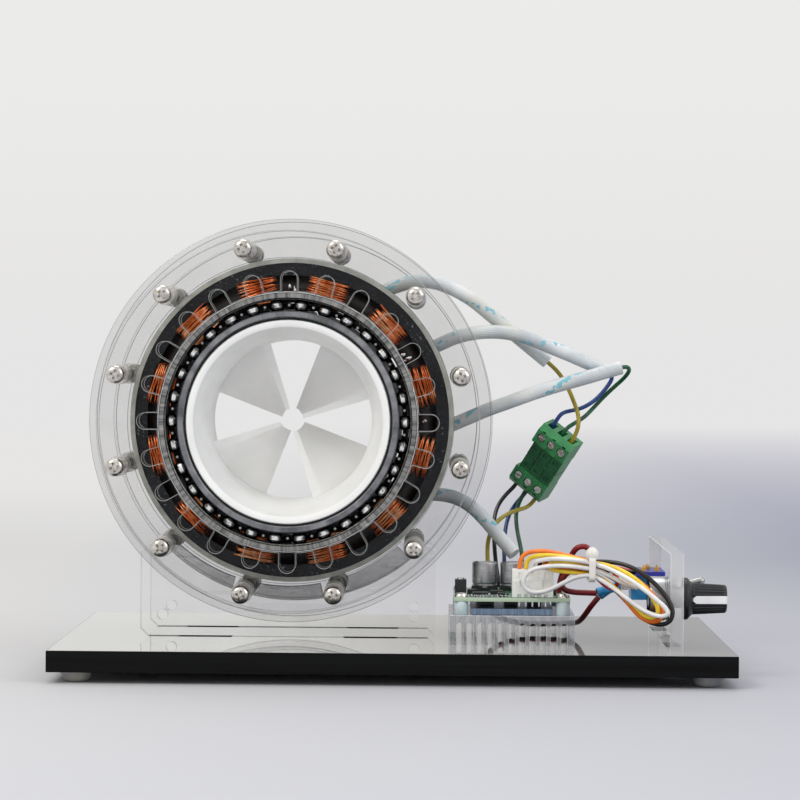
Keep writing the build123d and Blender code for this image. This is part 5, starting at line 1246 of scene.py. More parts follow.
# %%
def duct_profile():
    """The duct as (radius, height): height is towards the front."""
    front, back, outside = 30.5, -37.5, 39.16
    lip, throat, lip_length = 36.2, 31.5, 5.0

    def ease(start, end, count=14):
        rows = []
        for i in range(1, count):
            t = i / count
            rows.append((lip + (throat - lip) * math.sin(t * math.pi / 2) ** 1.3, start + (end - start) * t))
        return rows

    points = [(outside - 0.4, front), (lip + 0.5, front), (lip + 0.1, front - 0.3), (lip, front - lip_length)]
    points += ease(front - lip_length, 2.0)
    points += [(throat, 2.0), (throat, -15.0)]
    points += [(r, z) for r, z in reversed(ease(back + lip_length, -15.0))]
    points += [(lip, back + lip_length), (lip + 0.1, back + 0.3), (lip + 0.5, back), (outside - 0.4, back)]
    return points + [(outside, back + 0.4), (outside, front - 0.4)]


# %% [markdown]
# ## Fan blades
#
# A blade is one outline, swept back and turned as it goes. It is thin at the root and thick at the
# wall, as printed blades are. Sweeping an outline keeps both faces even, which a bend would not.


# %%
def blade(steps=14, spans=8):
    """A blade that turns as it goes back; it is thin at the root and thick at the wall."""
    corners, faces = [], []
    outline = []
    for i in range(spans + 1):
        t = i / spans
        outline.append((4.5 + 27.5 * t, -(1.7 + 1.9 * t) / 2))
    for i in range(spans, -1, -1):
        t = i / spans
        outline.append((4.5 + 27.5 * t, (1.7 + 1.9 * t) / 2))
    count = len(outline)
    for step in range(steps + 1):
        angle = math.radians(19.0 + 48.0 * step / steps)
        height = 1.0 - 15.0 * step / steps
        for x, y in outline:
            corners.append((x * math.cos(angle) - y * math.sin(angle),
                            x * math.sin(angle) + y * math.cos(angle),
                            height))
    for step in range(steps):
        for i in range(count):
            low, high, j = step * count, (step + 1) * count, (i + 1) % count
            faces.append((low + i, low + j, high + j, high + i))
    faces += [tuple(reversed(range(count))), tuple(range(steps * count, (steps + 1) * count))]
    return corners, faces


def rotor():
    parts = [(moved(lathe(duct_profile(), 160), MOTOR), "print"),
             (repeated(blade(), around_motor(4)), "print")]
    piece("fan_duct", parts, "rotor", "fan_rotor", sharp=40)
    finish_node("rotor_tube", "tube")
    finish_node("rotor_core", "core")
    finish_node("rotor_magnets", "magnet")


rotor()

# %% [markdown]
# ## Stator
#
# Every tooth carries a coil of enamelled wire, wound in layers between black printed flanges. Each turn
# is a closed tube of its own, 0.54 mm thick, laid with a little random tilt, so the strands catch the
# light one by one. A dark ring of painted shade behind them keeps daylight from showing between the
# teeth.


# %%
def coil_turn(radius, layer, draw):
    """One turn of wire round a tooth that points along local X."""
    half, bulge = 4.9 + 0.75 * layer, 3.6 + 0.62 * layer
    tilt, lean = draw.uniform(-0.8, 0.8), draw.uniform(-0.7, 0.7)
    points = []
    for i in range(24):
        angle = math.tau * i / 24
        c, s = math.cos(angle), math.sin(angle)
        side = half * math.copysign(abs(c) ** 0.62, c)
        swell = bulge * math.copysign(abs(s) ** 0.62, s)
        middle = -1.0 if swell > 0 else -17.0
        out = radius + tilt * side / half + lean * s * 0.5
        points.append((out, side, middle + swell))
    return tube(points, 0.27, 5, closed=True)


def windings():
    draw = random.Random(12)
    shapes = []
    for matrix in around_motor(TOOTH_COUNT, TOOTH_START):
        for layer in (1, 4):
            turns = 15 if layer == 4 else 14
            for i in range(turns):
                radius = 46.8 + (56.7 - 46.8) * (i + 0.5) / turns + draw.uniform(-0.22, 0.22)
                lift = layer + draw.uniform(-0.4, 0.4)
                shapes.append(moved(coil_turn(radius, lift, draw), matrix))
    piece("coil_strands", [(merged(shapes), "copper")], "stand", "stator_coils", sharp=180)


# %% [markdown]
# ## Solder in the slots
#
# Coil ends meet in a few of the slots, under small blobs of solder. They are squeezed balls at
# seeded random places, because no two joints are alike, and a seed gives the same ones each time.


# %%
def joints_in_slots():
    """Small blobs of solder where coil ends meet, in a few of the slots."""
    draw = random.Random(5)
    shapes = []
    for slot_number in (0, 2, 5, 8, 11):
        matrix = MOTOR @ turn(TOOTH_START + 15 + 30 * slot_number, "Z")
        for _ in range(5):
            spot = at(draw.uniform(47.5, 52.5), draw.uniform(-1.6, 1.6), draw.uniform(0.2, 1.6))
            blob = ball(draw.uniform(0.5, 1.0), 10, 6)
            squeeze = Matrix.Diagonal((1.4, draw.uniform(0.6, 1.0), 0.8, 1.0))
            shapes.append(moved(blob, matrix @ spot @ squeeze))
    return merged(shapes)


def stator():
    windings()
    # A dark ring in the slots: painted shade where daylight would show between the teeth
    shade_ring = moved(lathe([(46.4, -14.5), (57.4, -14.5), (57.4, -4.0), (46.4, -4.0)], 96), MOTOR)
    piece("coil_joints", [(joints_in_slots(), "solder"), (shade_ring, "slot")], "stand",
          sharp=180)
    finish_node("stator_core", "core")
    finish_node("front_winding_cap", "cap")
    finish_node("rear_winding_cap", "cap")


stator()

# %% [markdown]
# ## Riser and controller
#
# A clear block with a row of round-topped slots carries the controller board. The block is one outline,
# cut like a comb and raised along the depth, because that is how its slots run.

# %%
RISER_MIDDLE = (45.0, -18.0)
RISER_TOP = 23.0
BOARD_BOTTOM = 28.2
HEADER = (52.8, -35.6)
HEADER_SIZE = (15.6, 5.75, 6.4)
PLUG_TOP = BOARD_TOP + 10.6

# Each chip: x, y, width, depth, height and the pins along its two or four sides
CHIPS = (
    (33.0, -30.0, 7.0, 7.0, 1.2, 4), (41.0, -33.5, 4.0, 5.0, 1.4, 2), (26.6, -31.0, 3.4, 3.0, 1.0, 2),
    (30.2, -22.0, 5.0, 4.0, 1.6, 2), (39.5, -24.5, 6.0, 5.0, 1.4, 2), (50.0, -25.5, 7.0, 6.0, 1.5, 2),
    (60.5, -24.0, 4.6, 5.6, 2.2, 2), (59.0, -14.0, 6.0, 6.0, 1.4, 4), (25.6, -12.0, 2.6, 5.0, 1.4, 2),
    (58.5, -3.6, 5.0, 4.0, 1.8, 2),
)
SMALL_PARTS = ((31.4, -38.2, 0), (36.5, -38.2, 0), (40.5, -38.2, 0), (62.4, -31.0, 90), (43.6, -28.5, 0),
               (34.4, -24.0, 90))


def riser():
    width, height, pitch, half, top = 47.5, 11.0, 3.95, 1.15, 8.2
    outline = [(-width / 2, 0)]
    for i in range(11):
        middle = (i - 5) * pitch
        outline += [(middle - half, 0), (middle - half, top - half)]
        outline += [(middle - half * math.cos(math.pi * j / 10),
                     top - half + half * math.sin(math.pi * j / 10))
                    for j in range(1, 10)]
        outline += [(middle + half, top - half), (middle + half, 0)]
    outline += [(width / 2, 0), (width / 2, height), (-width / 2, height)]
    place = at(45.0, -18.0, BASE_TOP) @ turn(90, "X")
    shape = moved(sheet_shape([outline], -23.0, 23.0, 0.15), place)
    piece("slotted_riser", [(shape, "riser")], "stand", "controller_riser", sharp=20)


# %% [markdown]
# ## Board, screws and transistors
#
# The square board sits on four milky spacers, with cross-head screws. Under it a metal strip takes
# heat from six transistors. Small pads and tracks catch the light as tinned copper does.


# %%
def board_corners(z):
    return [at(RISER_MIDDLE[0] + x, RISER_MIDDLE[1] + y, z) for x in (-19.3, 19.3) for y in (-19.3, 19.3)]


def board_and_mounts():
    holes = [circle(1.6, 20, (x, y)) for x in (-19.3, 19.3) for y in (-19.3, 19.3)]
    plate = moved(sheet_shape([rect(-22, -22, 22, 22), *holes], BOARD_BOTTOM, BOARD_TOP, 0.08),
                  at(*RISER_MIDDLE))
    pad = lathe([(1.6, 0), (2.5, 0), (2.5, 0.06), (1.6, 0.06)], 24)
    joints = [(repeated(pad, board_corners(BOARD_TOP - 0.03)), "solder")]
    tracks = []
    draw = random.Random(7)
    for _ in range(46):
        x, y = draw.uniform(-20, 20) + RISER_MIDDLE[0], draw.uniform(-20, 20) + RISER_MIDDLE[1]
        tracks.append(block((0.7, 0.9, 0.06), (x, y, BOARD_TOP)))
    joints.append((merged(tracks), "solder"))
    piece("controller_pcb", [(plate, "board"), *joints], "stand", "controller_board")
    sleeve = lathe([(1.5, 0), (2.6, 0), (2.7, 0.15), (2.7, 5.05), (2.6, 5.2), (1.5, 5.2)], 28)
    piece("board_standoffs", [(repeated(sleeve, board_corners(RISER_TOP)), "nylon_blue")], "stand",
          "board_spacers")
    dome = lathe([(0, 0), (2.6, 0), (2.58, 0.5), (2.2, 1.15), (1.4, 1.52), (0, 1.6)], 28)
    head = carved(dome, *cross_cutter(1.35, 0.6, 1.0, 1.6))
    shank = thread(1.35, RISER_TOP - BOARD_TOP, 0.05, 0.5)
    screws = [(repeated(head, board_corners(BOARD_TOP)), "screw"),
              (repeated(shank, board_corners(BOARD_TOP)), "steel")]
    piece("board_screw_set", screws, "stand", "board_screws", sharp=28)
    plate = block((31, 42, 2.5), (*RISER_MIDDLE, RISER_TOP + 1.25))
    piece("heat_plate", [(plate, "spreader")], "stand", "heat_spreader", rim=0.2)
    cases, tabs = [], []
    for x in (-9, 0, 9):
        for y in (-5.5, 5.5):
            centre = (RISER_MIDDLE[0] + x, RISER_MIDDLE[1] + y)
            cases.append(block((5, 4.6, 2.2), (centre[0], centre[1] - 0.8, 26.8)))
            tabs.append(block((4.4, 1.7, 0.5), (centre[0], centre[1] + 2.2, 27.7)))
            tabs += [block((0.5, 0.5, 0.4), (centre[0] + dx, centre[1] - 2.85, 27.9)) for dx in (-1.8, 0,
                                                                                                 1.8)]
    piece("transistor_row", [(merged(cases), "chip"), (merged(tabs), "solder")], "stand",
          "power_transistors", rim=0.08)


# %% [markdown]
# ## Chips and small parts
#
# Each chip is a moulded case with thin legs that reach the board. The legs are boxes, for at this
# size the light on them matters and their bend does not. A trimmer has a turned dial with a slot.


# %%
def chips():
    cases, legs, blocks = [], [], []
    for x, y, width, depth, height, sides in CHIPS:
        cases.append(block((width - 1.1, depth - (1.1 if sides == 4 else 0.1), height - 0.12),
                           (x, y, BOARD_TOP + height / 2 + 0.06)))
        for side in (-1, 1):
            count = max(2, int((depth - 1.2) / 0.75))
            for i in range(count):
                along = y + (i - (count - 1) / 2) * 0.75
                legs.append(block((0.62, 0.3, 0.16),
                                  (x + side * (width / 2 - 0.31), along, BOARD_TOP + 0.08)))
                legs.append(block((0.16, 0.3, height * 0.5),
                                  (x + side * (width / 2 - 0.55), along, BOARD_TOP + height * 0.25)))
            if sides == 4:
                for i in range(count):
                    along = x + (i - (count - 1) / 2) * 0.75
                    legs.append(block((0.3, 0.62, 0.16),
                                      (along, y + side * (depth / 2 - 0.31), BOARD_TOP + 0.08)))
    for x, y, angle in SMALL_PARTS:
        spot = at(x, y, BOARD_TOP) @ turn(angle, "Z")
        blocks.append(moved(block((0.9, 0.8, 0.56), (0, 0, 0.3)), spot))
        legs += [moved(block((0.35, 0.8, 0.58), (side * 0.62, 0, 0.29)), spot) for side in (-1, 1)]
    draw = random.Random(3)
    for i in range(26):
        spot = at(28.4 + 0.62 * i, -39.4 + draw.uniform(0.0, 2.6), BOARD_TOP + 0.45)
        spot = spot @ turn(draw.uniform(-40, 40), "Z")
        legs.append(moved(block((0.42, 0.9, draw.uniform(0.5, 0.9)), (0, 0, 0)), spot))
    x, y, size, height = 25.6, -24.5, 4.4, 6.2
    trimmer = block((size, size, height - 0.6), (x, y, BOARD_TOP + height / 2 - 0.3))
    dial = carved(moved(lathe([(0, 0), (1.4, 0), (1.4, 0.6), (0, 0.6)], 24),
                        at(x, y, BOARD_TOP + height - 0.6)),
                  block((2.2, 0.4, 0.5), (x, y, BOARD_TOP + height)))
    piece("board_chips", [(merged(cases), "chip"), (merged(blocks), "chip"), (merged(legs), "solder"),
                          (trimmer, "chip"), (dial, "solder")], "stand", "controller_chips",
          rim=0.06)


# %% [markdown]
# ## Capacitors
#
# Two rolled aluminium cans stand on moulded bases. A single turned profile carries the crimped
# waist and the rounded top, and the dark mark on top is a thin raised outline.


# %%
def capacitors():
    """Two cans, each on a black moulded base with two cut corners."""
    can = [(0, 0.9), (4.6, 0.9), (4.95, 1.25), (4.95, 2.1), (4.7, 2.35), (4.66, 2.6), (4.72, 2.85),
           (4.95, 3.1), (4.95, 10.45), (4.85, 10.8), (4.55, 11.0), (4.1, 10.96), (0, 10.94)]
    half, cut = 5.15, 1.6
    base = [(-half, -half), (half, -half), (half, half - cut), (half - cut, half), (-half + cut, half),
            (-half, half - cut)]
    ledge = [(-half + 0.3, -half + 0.3), (half - 0.3, -half + 0.3), (half - 0.3, -half + 1.4),
             (-half + 0.3, -half + 1.4)]
    places = [at(x, -6.4, BOARD_TOP) for x in (35.2, 46.2)]
    mark = [(4.45 * math.cos(a), 4.45 * math.sin(a)) for a in
            [math.radians(125 + 11 * i) for i in range(11)]]
    piece("can_capacitors", [(repeated(lathe(can, 48), places), "can"),
                             (repeated(prism(base, 0.02, 1.2), places), "dark"),
                             (repeated(prism(ledge, 1.1, 1.9), places), "dark"),
                             (repeated(prism(mark, 10.9, 10.99), places), "dark")],
          "stand", "capacitors", sharp=32)


# %% [markdown]
# ## Header and plug
#
# The cream socket is a box with notches cut in it, and the plug fits inside with room to spare. The
# pins are 2.5 mm apart. Cuts are real, because shadows inside them are what one sees.


# %%
def header():
    """The white socket with its notches and pins, and the plug that the harness ends in."""
    x, y = HEADER
    length, depth, height = HEADER_SIZE
    shell = block(HEADER_SIZE, (x, y, BOARD_TOP + height / 2))
    cuts = [block((length - 1.5, depth - 1.5, height), (x, y, BOARD_TOP + 1.2 + height / 2))]
    cuts += [block((1.3, 1.6, 2.6), (x + dx, y - depth / 2, BOARD_TOP + height - 1.2)) for dx in (-4.3, 4.3)]
    cuts += [block((1.0, 2.0, 3.2), (x + side * length / 2, y, BOARD_TOP + height - 1.5)) for side in (-1, 1)]
    cuts += [block((1.5, 1.2, 1.2), (x + 2.5 * (i - 2), y - depth / 2, BOARD_TOP + 0.5)) for i in range(5)]
    pins = []
    for i in range(5):
        pins.append(block((0.64, 0.64, 8.8), (x + 2.5 * (i - 2), y, BOARD_BOTTOM - 2.2 + 4.4)))
    piece("white_socket", [(carved(shell, *cuts), "header"), (merged(pins), "solder")], "stand",
          "header_socket", rim=0.12)
    bottom, seam = BOARD_TOP + 1.2, BOARD_TOP + height
    inset = 1.7
    lower = block((length - inset, depth - inset, seam - bottom), (x, y, (seam + bottom) / 2))
    upper = block((length, depth - 0.75, PLUG_TOP - seam), (x, y, (seam + PLUG_TOP) / 2))
    holes = [block((1.04, 1.04, 5.0), (x + 2.5 * (i - 2), y, bottom + 2.4)) for i in range(5)]
    mouths = [block((1.5, 1.9, 1.2), (x + 2.5 * (i - 2), y - 0.6, PLUG_TOP)) for i in range(5)]
    windows = [block((0.9, 0.8, 2.2), (x + 2.5 * (i - 2), y - depth / 2 + 0.4, seam + 1.9)) for i in range(5)]
    piece("white_plug", [(carved(lower, *holes), "header"), (carved(upper, *mouths, *windows), "header")],
          "stand", "header_plug", rim=0.1)


riser()
board_and_mounts()
chips()
capacitors()
header()

# %% [markdown]
# ## Control panel, knob and toggle switch
#
# A clear upright at the right carries a potentiometer with its knob and a small toggle switch. Their
# axes all run to the right, so they share one matrix that turns a shape to face that way.

# %%
PANEL_LEFT, PANEL_RIGHT = 103.5, 108.5
POT = (-45.0, 30.5)
TOGGLE = (-20.0, 33.0)
FACING_RIGHT = turn(90, "Y") @ turn(90, "Z")


def to_right(x, y, z):
    """Local x goes to the back, local y up and local z to the right."""
    return at(x, y, z) @ FACING_RIGHT


# %% [markdown]
# ## Panel
#
# The upright is one sheet, drawn flat with its tabs and holes and then turned to face right. Its
# tabs reach into the base.


# %%
def control_panel():
    length, height, tab = 50.0, 36.0, 8.0
    outline = [(-length, 0), (-30 - tab, 0), (-30 - tab, -8), (-30 + tab, -8), (-30 + tab, 0), (30 - tab, 0),
               (30 - tab, -8), (30 + tab, -8), (30 + tab, 0), (length, 0), (length, height),
               (-length, height)]
    holes = [circle(3.6, 32, (POT[0] + 5.0, POT[1] - BASE_TOP)),
             circle(3.1, 32, (TOGGLE[0] + 5.0, TOGGLE[1] - BASE_TOP))]
    sheet = sheet_shape([outline, *holes], 0, 5.0, 0.2)
    piece("clear_panel", [(moved(sheet, to_right(PANEL_LEFT, -5.0, BASE_TOP)), "panel")], "stand",
          "control_panel", sharp=20)


# %% [markdown]
# ## Potentiometer
#
# Its can, threaded bushing and closing plate are turned, and the three lugs have eyes for wires. A
# lathe with six segments gives a hexagonal nut.


# %%
def hex_nut(radius, bore, thickness):
    bevel = thickness * 0.2
    return lathe([(bore, 0), (radius, 0), (radius, thickness - bevel), (radius * 0.9, thickness),
                  (bore, thickness)], 6)


def potentiometer():
    place = to_right(PANEL_LEFT, *POT)
    can = [(3.06, -7.5), (7.6, -7.5), (8.1, -7.2), (8.3, -6.8), (8.3, -1.6), (8.0, -1.3), (8.0, -0.9),
           (8.3, -0.6),
           (8.3, 0), (3.4, 0), (3.06, -0.3)]
    bushing = [(3.06, 0), (3.5, 0)]
    for i in range(9):
        bushing += [(3.5, 0.4 + 0.8 * i), (3.34, 0.8 + 0.8 * i)]
    bushing += [(3.5, 7.7), (3.3, 8.0), (3.06, 8.0)]
    closing = moved(lathe([(0, 0), (7.6, 0), (7.6, 0.3), (0, 0.3)], 48), place @ at(z=-7.5))
    lugs = []
    for i in (-1, 0, 1):
        lug = block((2.2, 0.6, 4.0), (4.7 * i, 4.15, -9.5))
        lugs.append(carved(lug, block((0.9, 2, 1.1), (4.7 * i, 4.15, -10.2))))
    wafer = block((13.0, 1.4, 4.8), (0, 4.3, -5.2))
    piece("pot_body", [(moved(lathe(can, 60), place), "can"), (moved(lathe(bushing, 40), place), "steel"),
                       (closing, "can"), (moved(merged(lugs), place), "solder"),
                       (moved(wafer, place), "brown")],
          "stand", "potentiometer", sharp=30)
    nuts = [(moved(hex_nut(5.8, 3.52, 1.6), to_right(PANEL_RIGHT, *POT)), "screw"),
            (moved(hex_nut(4.6, 3.02, 1.6), to_right(PANEL_RIGHT, *TOGGLE)), "screw")]
    piece("bushing_nuts", nuts, "stand", "panel_nuts", rim=0.1)


# %% [markdown]
# ## Knob
#
# The grip is fluted, and each flute is a shallow scoop that a sine wave cuts from the circle. The
# pointer is a white inlay in a slot. It is a piece of its own, so its finish stays clean.


# %%
def knob():
    """A fluted knob; the pointer runs from the skirt to the cap and ends in a point at the skirt."""
    left, skirt, body, cap = 109.0, 7.9, 6.0, 5.3
    place = to_right(left, *POT)
    length = 16.3
    profile = [(6.3, 0), (7.75, 0), (skirt, 0.2), (skirt, 1.5), (7.6, 1.9), (6.6, 2.8), (body, 3.4)]
    flutes, steps = 26, 8
    corners, faces = [], []
    heights = [3.4, 4.0, 4.6, 14.3, 15.1, 15.7]
    count = flutes * steps
    for row, height in enumerate(heights):
        share = (height - 3.4) / 12.4
        depth = 0.0 if row in (0, 5) else 0.42
        for i in range(count):
            phase = (i % steps) / steps
            radius = body + (cap - body) * share - depth * math.sin(math.pi * phase) ** 2
            angle = math.tau * i / count
            corners.append((radius * math.cos(angle), radius * math.sin(angle), height))
    for row in range(len(heights) - 1):
        for i in range(count):
            j = (i + 1) % count
            faces.append((row * count + i, row * count + j, (row + 1) * count + j, (row + 1) * count + i))
    faces.append(tuple(reversed(range(count))))
    faces.append(tuple(range(5 * count, 6 * count)))
    lower = lathe([*profile, (5.6, 3.5), (5.0, 2.4), (6.3, 2.2)], 96)
    top = lathe([(0, 15.6), (cap, 15.6), (cap - 0.1, 16.0), (cap - 0.45, length), (cap - 1.0, 16.2),
                 (0, 16.05)], 96)
    bore = lathe([(0, -1), (3.02, -1), (3.02, 14.8), (0, 14.8)], 40)
    hollow = lathe([(0, -1), (4.4, -1), (4.4, 7.0), (0, 7.0)], 40)
    grip = carved((corners, faces), bore, hollow)
    slot = block((3.0, 6.0, 13.6), (0, 7.1, 9.7))
    pointing = place @ turn(180, "Z") @ turn(-90, "Z")
    shapes = [(moved(carved(shape, slot), pointing), "knob") for shape in (grip, top)]
    shapes.append((moved(lower, place), "knob"))
    piece("fluted_knob", shapes, "knob", "control_knob", sharp=40)
    line = [(0.0, 2.9), (1.45, 4.5), (1.45, 16.1), (-1.45, 16.1), (-1.45, 4.5)]
    bar = moved(prism(line, 4.3, 5.9), turn(90, "X") @ Matrix.Diagonal((1, 1, -1, 1)))
    piece("pointer_bar", [(moved(bar, pointing), "white")], "knob", "knob_pointer", rim=0.1)
    finish_node("knob_shaft", "steel")


# %% [markdown]
# ## Toggle switch
#
# A blue case, a threaded bushing and a chromed lever that swings on a ball. The lever is one turned
# profile, tilted as it rests.


# %%
def toggle():
    place = to_right(PANEL_LEFT, *TOGGLE)
    depth, width, height = 12.5, 13.0, 9.6
    case = block((width, height, depth - 1.0), (0, 0, -depth / 2 - 0.5))
    frame_plate = block((width, height, 0.98), (0, 0, -0.5))
    bore = lathe([(0, -6), (2.3, -6), (2.3, 9), (0, 9)], 32)
    bushing = [(2.3, 1.5), (2.3, 8.0), (2.7, 8.0), (3.0, 7.7)]
    for i in range(9):
        bushing += [(2.82, 7.3 - 0.8 * i), (3.0, 6.9 - 0.8 * i)]
    bushing += [(3.0, 0.0), (2.3, 0.0)]
    lugs = [block((0.6, 2.2, 4.0), (4.7 * i, 0, -depth - 2.0)) for i in (-1, 0, 1)]
    shapes = [(moved(carved(case, bore), place), "sky"), (moved(carved(frame_plate, bore), place), "screw"),
              (moved(lathe(bushing, 40), place), "screw"), (moved(merged(lugs), place), "solder")]
    piece("toggle_case", shapes, "stand", "toggle_switch", rim=0.12)
    profile = [(0, -1.5), (1.2, -1.35), (1.95, -0.5), (1.95, 0.5), (1.25, 1.35), (0.98, 2.2), (1.2, 6.6),
               (1.45, 9.6), (1.45, 10.6), (1.2, 11.4), (0.7, 11.85), (0, 12.0)]
    pivot = at(PANEL_LEFT + 8.0 - 3.4, *TOGGLE) @ turn(-12, "Y") @ FACING_RIGHT
    piece("chrome_lever", [(moved(lathe(profile, 32), pivot), "steel")], "lever",
          "toggle_lever", sharp=60)


# %% [markdown]
# ## Blue board
#
# A small blue board lies over the switch, with two amber pin blocks and a banded resistor, turned
# from one profile with thin rings for its bands.


# %%
def switch_board():
    """A small blue board over the switch with two pin blocks and a banded resistor."""
    top = TOGGLE[1] + 4.8
    x, y = PANEL_LEFT - 5.5, TOGGLE[0]
    board = block((11, 24, 1.6), (x, y, top + 0.8))
    pads = [block((1.3, 1.6, 0.06), (x + dx, y + dy, top + 1.6)) for dx in (-3.5, 0, 3.5) for dy in (0, 5, 9)]
    pins = []
    for side in (-1, 1):
        spot = (x + 2.5 * side, y - 8)
        pins.append(block((2.0, 2.0, 1.5), (*spot, top + 2.35)))
        pins.append(block((0.6, 0.6, 1.0), (*spot, top + 3.45)))
    body = [(0, -3.0), (0.55, -2.95), (0.8, -2.6), (0.75, -1.9), (0.62, -1.4), (0.62, 1.4), (0.75, 1.9),
            (0.8, 2.6),
            (0.55, 2.95), (0, 3.0)]
    across = at(x, y + 2.5, top + 2.45) @ turn(90, "X")
    bands = [(moved(lathe([(0, h), (r, h), (r, h + 0.45), (0, h + 0.45)], 20), across), key)
             for h, r, key in ((-2.5, 0.84, "brown"), (-1.2, 0.67, "dark"), (-0.3, 0.67, "gold"),
                               (2.0, 0.84, "gold"))]
    piece("blue_switch_board", [(board, "blue"), (merged(pads), "gold"), (merged(pins), "amber"),
                                (moved(lathe(body, 20), across), "amber"), *bands],
          "stand", "switch_board", rim=0.1)


control_panel()
potentiometer()
knob()
toggle()
switch_board()

# %% [markdown]
# ## Terminal pair
#
# A green plug and socket with three screw poles each, 5.08 mm apart, hang on their wires. They are drawn
# upright and turned once into place. Their own axes are x across the poles, y along their length and z
# out of their face.

# %%
TERMINAL_X = Vector((0.756, -0.283, -0.591)).normalized()
TERMINAL_Z = Vector((-0.465, -0.867, -0.179))
TERMINAL_Z = (TERMINAL_Z - TERMINAL_X * TERMINAL_X.dot(TERMINAL_Z)).normalized()
TERMINAL_Y = TERMINAL_Z.cross(TERMINAL_X)
TERMINAL = at(60.1, 34.8, 78.7) @ Matrix((TERMINAL_X, TERMINAL_Y, TERMINAL_Z)).transposed().to_4x4()
POLE = 5.08


def terminal_head(end):
    """One screw block: the front edge at its outer end is cut back."""
    near, far, half, bevel = 6.3, 14.7, 5.5, 2.4
    outline = [(near, -half), (far, -half), (far, half - bevel), (far - bevel, half), (near, half)]
    profile = moved(prism(outline, -8.0, 8.0), turn(90, "Y") @ turn(90, "Z"))
    if end < 0:
        profile = moved(profile, Matrix.Diagonal((1, -1, 1, 1)))
    cuts = []
    for i in (-1, 0, 1):
        cuts.append(block((3.0, 5.0, 5.4), (POLE * i, end * far, 0)))
        cuts.append(moved(lathe([(0, -3), (1.9, -3), (1.9, 1), (0, 1)], 28), at(POLE * i, end * 9.7, half)))
        cuts.append(block((1.5, 0.7, 2.4), (POLE * i, end * 12.3, half - 0.7)))
        cuts.append(block((2.6, 1.2, 1.0), (POLE * i, end * 6.9, half)))
    return carved(profile, *cuts)


def terminal_neck(end):
    """The sleeve between the blocks, with latch windows and ribs."""
    shape = block((14.9, 6.28, 9.4), (0.55, end * 3.15, 0))
    cuts = [block((2.2, 1.6, 1.2), (POLE * i + 0.4, end * 4.2, 4.7)) for i in (-1, 0, 1)]
    cuts += [block((0.5, 5.0, 0.8), (POLE * i + 2.9, end * 3.2, 4.7)) for i in (-2, -1, 0, 1)]
    cuts.append(block((1.6, 2.2, 3.0), (-6.9, end * 3.4, 0.6)))
    return carved(shape, *cuts)


def terminal_pair():
    hanging = []
    for end, name in ((1, "terminal_plug"), (-1, "terminal_socket")):
        rails = [block((0.7, 5.6, 9.2), (x, end * 3.3, 0.1)) for x in (-6.6, 7.7)]
        shapes = [(moved(terminal_head(end), TERMINAL), "green"),
                  (moved(terminal_neck(end), TERMINAL), "deep_green"),
                  # The neck takes the darker green: painted shade in the recess between the heads
                  (moved(merged(rails), TERMINAL), "green")]
        hanging.append(piece(name + "_block", shapes, "stand", name, rim=0.14, sharp=30))
    screws = []
    for end in (1, -1):
        for i, angle in zip((-1, 0, 1), (12, -30, 48)):
            head = lathe([(0, 0), (1.72, 0), (1.72, 2.3), (1.55, 2.6), (0, 2.6)], 28)
            cut = carved(head, moved(block((3.8, 0.55, 1.4), (0, 0, 2.6)), turn(angle, "Z")))
            screws.append(moved(cut, at(POLE * i, end * 9.7, 2.5)))
    row = [(moved(merged(screws), TERMINAL), "screw")]
    hanging.append(piece("clamp_screws", row, "stand", "terminal_screws"))
    return hanging


TERMINAL_PIECES = terminal_pair()

# %% [markdown]
# ## Shrink tubes and cable tie
#
# Blue tubes cover the joints of the two supply leads, and a nylon tie holds the harness. A tube follows
# a short bend between three points. The tie's band is a rounded frame, because it grips the bundle.

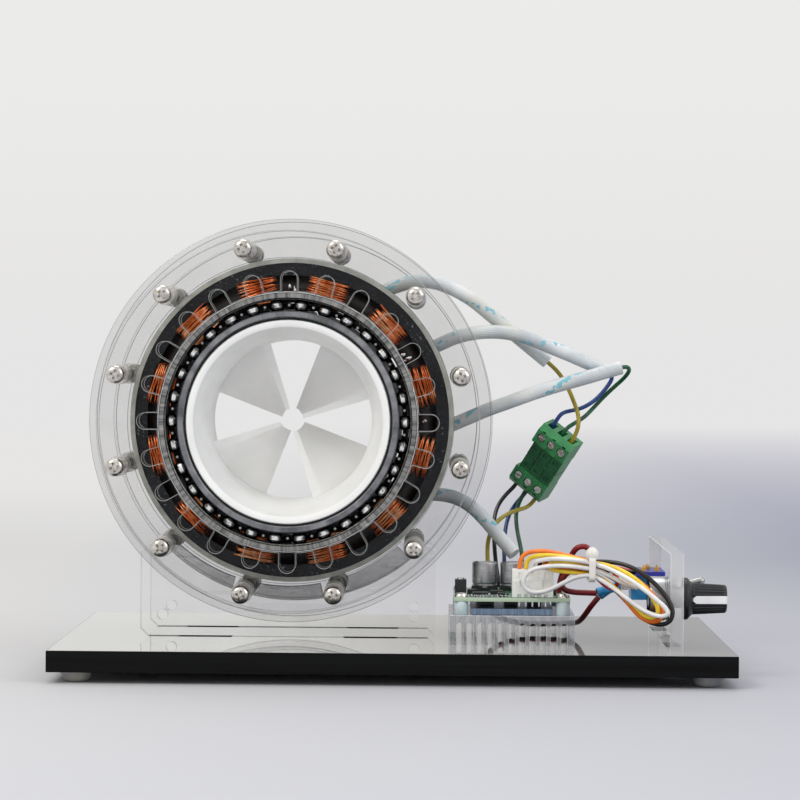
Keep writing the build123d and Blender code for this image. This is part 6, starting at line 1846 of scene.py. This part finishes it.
# %%
SHRINK_ROUTES = {
    "heat_shrink_front": [(86.6, -24.7, 33.0), (82.2, -25.2, 32.2), (78.0, -26.1, 30.9)],
    "heat_shrink_rear": [(86.2, -15.4, 32.8), (83.2, -16.0, 31.6), (79.6, -17.3, 28.8)],
}


def bent(points, steps=8):
    """A quadratic curve through two ends, drawn towards the point between them."""
    a, b, c = [Vector(point) for point in points]
    rows = [i / steps for i in range(steps + 1)]
    return [a * (1 - t) ** 2 + b * (2 * t * (1 - t)) + c * t**2 for t in rows]


def shrinks_and_tie():
    tubes = [tube(bent(points), 1.68, 20) for points in SHRINK_ROUTES.values()]
    piece("shrink_tubes", [(merged(tubes), "shrink")], "stand", "heat_shrinks", sharp=50)
    x, y, z = 74.4, -46.1, 41.8
    depth, height, strap, corner = 13.4, 7.4, 1.2, 2.4

    def rounded(width, tall, radius):
        outline = []
        for sx, sy, start in ((1, 1, 0), (-1, 1, 90), (-1, -1, 180), (1, -1, 270)):
            for i in range(7):
                angle = math.radians(start + 15 * i)
                outline.append((sx * (width / 2 - radius) + radius * math.cos(angle),
                                sy * (tall / 2 - radius) + radius * math.sin(angle)))
        return outline

    band = sheet_shape([rounded(depth + 2 * strap, height + 2 * strap, corner),
                        rounded(depth, height, corner - strap)], 0, 2.4, 0.15)
    place = at(x, y - depth / 2 + 1.6, z + height / 2 + 1.7) @ Matrix.Diagonal((1.0, 0.9, 1.05, 1.0))
    head = moved(ball(2.55, 28, 18), place)
    slot = block((2.5, 1.2, 3.0), (x, y - depth / 2 + 1.9, z + height / 2 + 4.6))
    tail = block((2.2, 0.8, 1.9), (x, y - depth / 2 + 1.9, z + height / 2 + 3.6))
    piece("tie_band", [(moved(band, to_right(x - 1.2, y, z)), "nylon")], "stand", "cable_tie")
    piece("tie_head", [(carved(head, slot), "nylon"), (tail, "nylon")], "stand", "cable_tie")


shrinks_and_tie()

# %% [markdown]
# ## Size and check
#
# Each cord tells its length, width and ends, so that it can later be made to hang. Then the box of the
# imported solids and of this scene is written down, and the frame is closed.

# %%
for name, (key, width, length, far_end) in CORDS.items():
    family = name.split("_")[0]
